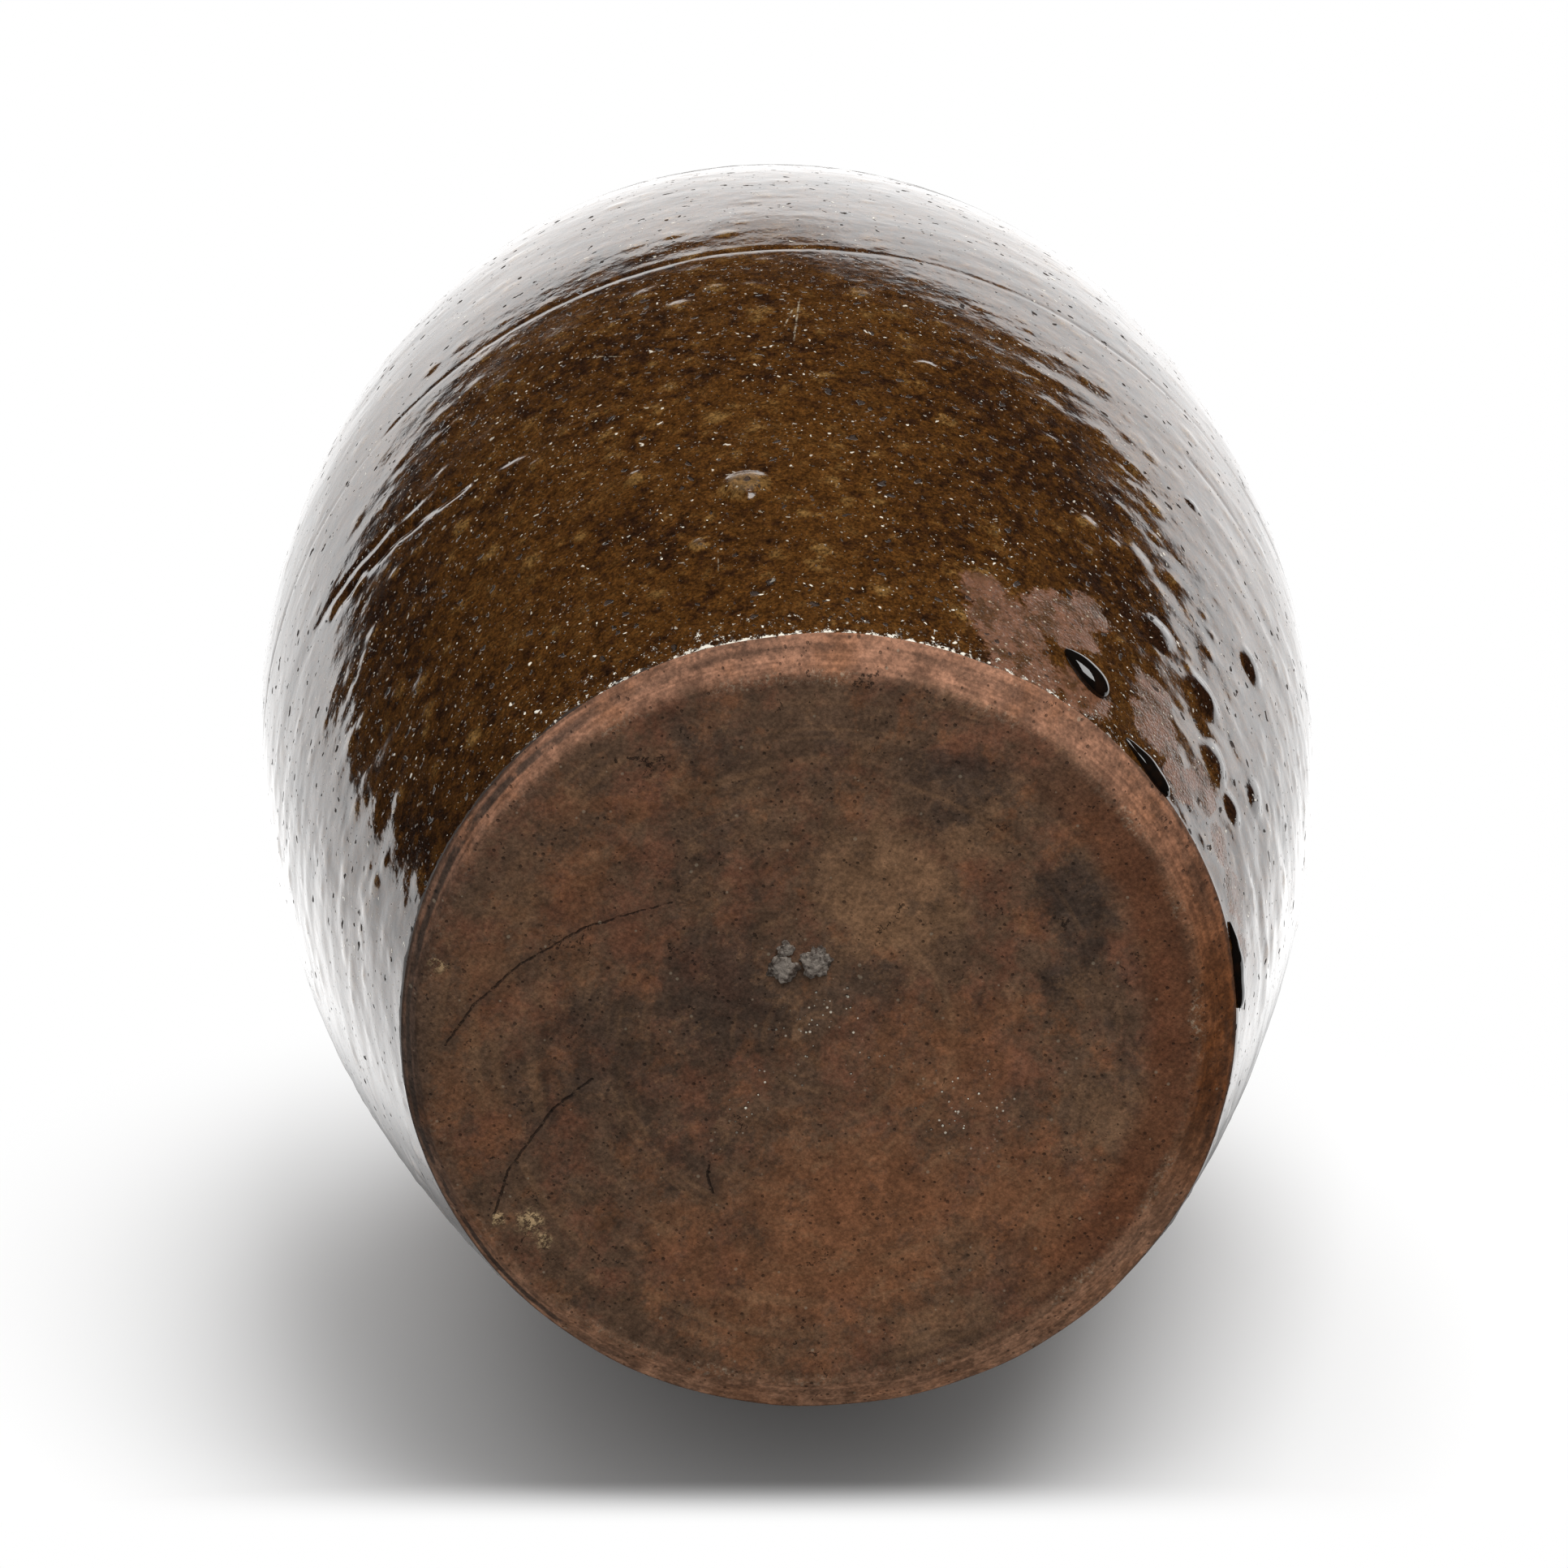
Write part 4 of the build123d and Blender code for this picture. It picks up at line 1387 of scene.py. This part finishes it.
@kept_material("Kiln grit")
def kiln_grit(coords, colours):
    """Pale rough crumbs, scorched in their hollows."""
    scorch = coords.noise(420, 4, 0.65).ramp(0.42, 0.62)
    base = scorch.mix(colours.grit, colours.grit_dark)
    height = coords.noise(1300, 4, 0.65) * (0.35 * mm)
    close_material(base, scorch.ramp(0, 1, 0.70, 0.9), height, ior=1.45)


def along_table(stage):
    """Unit vector along the table, away from the camera."""
    normal = Vector(stage.table_normal).normalized()
    forward = Vector(stage.camera_forward)
    return (forward - normal * forward.dot(normal)).normalized()


def table_material(stage):
    """Pale table that keeps the jar's shadow, fades to white and can't be seen from behind; in the glaze's
    reflections it glows brighter than white, with a painted shadow beside the jar.
    """
    material, coords = new_material("Pale table")
    tree = coords.tree
    normal, along = Vector(stage.table_normal).normalized(), along_table(stage)
    front, softness = stage.table_front, stage.table_softness
    edge = coords.dot(along).ramp(front - softness, front + softness, 1, 0)
    away = coords.distance(along * stage.table_centre - normal * stage.table_distance)
    faded = edge.at_least(away.ramp(stage.table_near, stage.table_far))
    aside = abs(coords.dot(along.cross(normal)))
    # Painted light: in the glaze's reflections the table glows brighter than white, with a painted shadow
    # that darkens it in a strip beside the jar and dims it far off
    level = stage.mirror_level
    glow_with_painted_shadow = aside.ramp(stage.strip_near, stage.strip_far, stage.strip_share * level, level)
    glow_with_painted_shadow = glow_with_painted_shadow * away.ramp(stage.mirror_near, stage.mirror_far, 1, stage.mirror_share)
    camera = tree.field("ShaderNodeLightPath", output="Is Camera Ray")
    glossy = tree.field("ShaderNodeLightPath", output="Is Glossy Ray")
    behind = tree.field("ShaderNodeNewGeometry", output="Backfacing")
    pale = tree.field("ShaderNodeBsdfDiffuse", {"Color": (0.90, 0.90, 0.90, 1)})
    white = tree.field("ShaderNodeEmission", {"Color": (1, 1, 1, 1), "Strength": 1.0})
    backdrop = tree.field("ShaderNodeEmission", {"Color": (1, 1, 1, 1), "Strength": glow_with_painted_shadow})
    clear = tree.field("ShaderNodeBsdfTransparent")
    face = pale
    for share, other in ((faded * camera, white), (glossy, backdrop), (behind, clear)):
        face = tree.field("ShaderNodeMixShader", {0: share, 1: face, 2: other})
    tree.add("ShaderNodeOutputMaterial", {"Surface": face})
    return material


def soft_lamp(name, place, width, power, mirrored):
    """A square lamp that shines at the middle of the jar and isn't seen itself."""
    centre = Vector((0, 0, jar_height / 2))
    lamp = bpy.data.lights.new(name, "AREA")
    lamp.shape = "SQUARE"
    lamp.size = width
    lamp.energy = power
    holder = bpy.data.objects.new(name, lamp)
    holder.location = centre + place
    holder.rotation_mode = "QUATERNION"
    holder.rotation_quaternion = (-place).to_track_quat("-Z", "Y")
    holder.visible_camera = False
    holder.visible_glossy = mirrored
    bpy.context.scene.collection.objects.link(holder)


def disc(direction, middle, reach, softness, outside, inside):
    """A level for directions within a reach of the middle, in degrees, and another past it."""
    outer, inner = (math.cos(math.radians(reach + side * softness / 2)) for side in (1, -1))
    return direction.dot(middle.normalized()).ramp(outer, inner, outside, inside)


def studio(stage, forward, right, up):
    """White where the camera sees it, a soft backdrop in the glaze and a pale sky elsewhere."""
    world = bpy.data.worlds.new("Studio")
    bpy.context.scene.world = world
    world.use_nodes = True
    world.node_tree.nodes.clear()
    tree = Tree(world.node_tree)
    direction = tree.field("ShaderNodeTexCoord", output="Generated").joined("NORMALIZE")
    mirrored = stage.dark_level
    for aside, upward, reach, softness, level in glow_rows:
        middle = forward + right * aside + up * upward
        mirrored = disc(direction, middle, reach, softness, 0, level).at_least(mirrored)
    for aside, upward, reach, softness, lost in shade_rows:
        middle = forward + right * aside + up * upward
        mirrored = mirrored * disc(direction, middle, reach, softness, 1, 1 - lost)
    camera = tree.field("ShaderNodeLightPath", output="Is Camera Ray")
    glossy = tree.field("ShaderNodeLightPath", output="Is Glossy Ray")
    climb = direction.dot(Vector(stage.table_normal).normalized())
    sky = climb.ramp(-0.1, 0.9, stage.rim_level, stage.sky_level)
    strength = glossy * mirrored + (1.0 - glossy.at_least(camera)) * sky + camera
    background = tree.field("ShaderNodeBackground", {"Color": (1, 1, 1, 1), "Strength": strength})
    tree.add("ShaderNodeOutputWorld", {"Surface": background})


class MARTABAN_OT_stage(bpy.types.Operator):
    """Set up the camera, the pale table and the soft light"""

    bl_idname = "martaban.stage"
    bl_label = "Stage"

    def execute(self, context):
        stage = context.scene.jar_stage
        forward = Vector(stage.camera_forward).normalized()
        right = forward.cross(Vector(stage.camera_up)).normalized()
        up = right.cross(forward)
        camera = bpy.data.cameras.new("Camera")
        camera.lens = stage.lens
        camera.sensor_width = 36
        camera.clip_start = 0.01
        holder = bpy.data.objects.new("Camera", camera)
        basis = Matrix((right, up, -forward)).transposed().to_4x4()
        holder.matrix_world = Matrix.Translation(stage.camera_place) @ basis
        context.scene.collection.objects.link(holder)
        context.scene.camera = holder

        normal = Vector(stage.table_normal).normalized()
        along = along_table(stage)
        table = bmesh.new()
        bmesh.ops.create_grid(table, x_segments=1, y_segments=1, size=stage.table_half)
        basis = Matrix((along.cross(normal), along, normal)).transposed().to_4x4()
        reach = stage.table_half + stage.table_front - stage.table_softness
        middle = along * reach - normal * stage.table_distance
        bmesh.ops.transform(table, matrix=Matrix.Translation(middle) @ basis, verts=table.verts)
        mesh = bpy.data.meshes.new("table")
        table.to_mesh(mesh)
        table.free()
        mesh.materials.append(table_material(stage))
        floor = bpy.data.objects.new("table", mesh)
        context.scene.collection.objects.link(floor)

        key_place = Matrix((right, up, forward)).transposed() @ Vector(stage.key_place)
        soft_lamp("Key lamp", key_place, stage.lamp_width, stage.key_level, True)
        soft_lamp("Top lamp", Vector(stage.top_place), stage.lamp_width, stage.top_level, False)
        studio(stage, forward, right, up)
        context.scene.view_settings.view_transform = "Standard"
        return {"FINISHED"}


class MARTABAN_PT_jar(bpy.types.Panel):
    """Lists the jar's pieces, sizes and colours"""

    bl_idname = "MARTABAN_PT_jar"
    bl_label = "Martaban Jar"
    bl_space_type = "VIEW_3D"
    bl_region_type = "UI"
    bl_category = "Martaban Jar"

    def draw(self, context):
        for operator in operators:
            self.layout.operator(operator.bl_idname)
        for group_name in groups:
            group = getattr(context.scene, group_name)
            box = self.layout.box()
            for name in group.__annotations__:
                box.prop(group, name)


groups = {
    "jar_sizes": JarSizes,
    "jar_surface": JarSurface,
    "jar_colours": JarColours,
    "jar_stage": JarStage,
}
operators = (
    MARTABAN_OT_stage,
    MARTABAN_OT_base_slab,
    MARTABAN_OT_walls,
    MARTABAN_OT_corner_coil,
    MARTABAN_OT_neck_and_rim,
    MARTABAN_OT_lugs,
    MARTABAN_OT_glaze_drops,
    MARTABAN_OT_kiln_grit,
)


def register():
    for kind in (*groups.values(), *operators, MARTABAN_PT_jar):
        bpy.utils.register_class(kind)
    for name, kind in groups.items():
        setattr(bpy.types.Scene, name, PointerProperty(type=kind))


def unregister():
    for name in groups:
        delattr(bpy.types.Scene, name)
    for kind in reversed((*groups.values(), *operators, MARTABAN_PT_jar)):
        bpy.utils.unregister_class(kind)


def main():
    register()
    for operator in operators:
        family, name = operator.bl_idname.split(".")
        getattr(getattr(bpy.ops, family), name)()


if __name__ == "__main__":
    main()
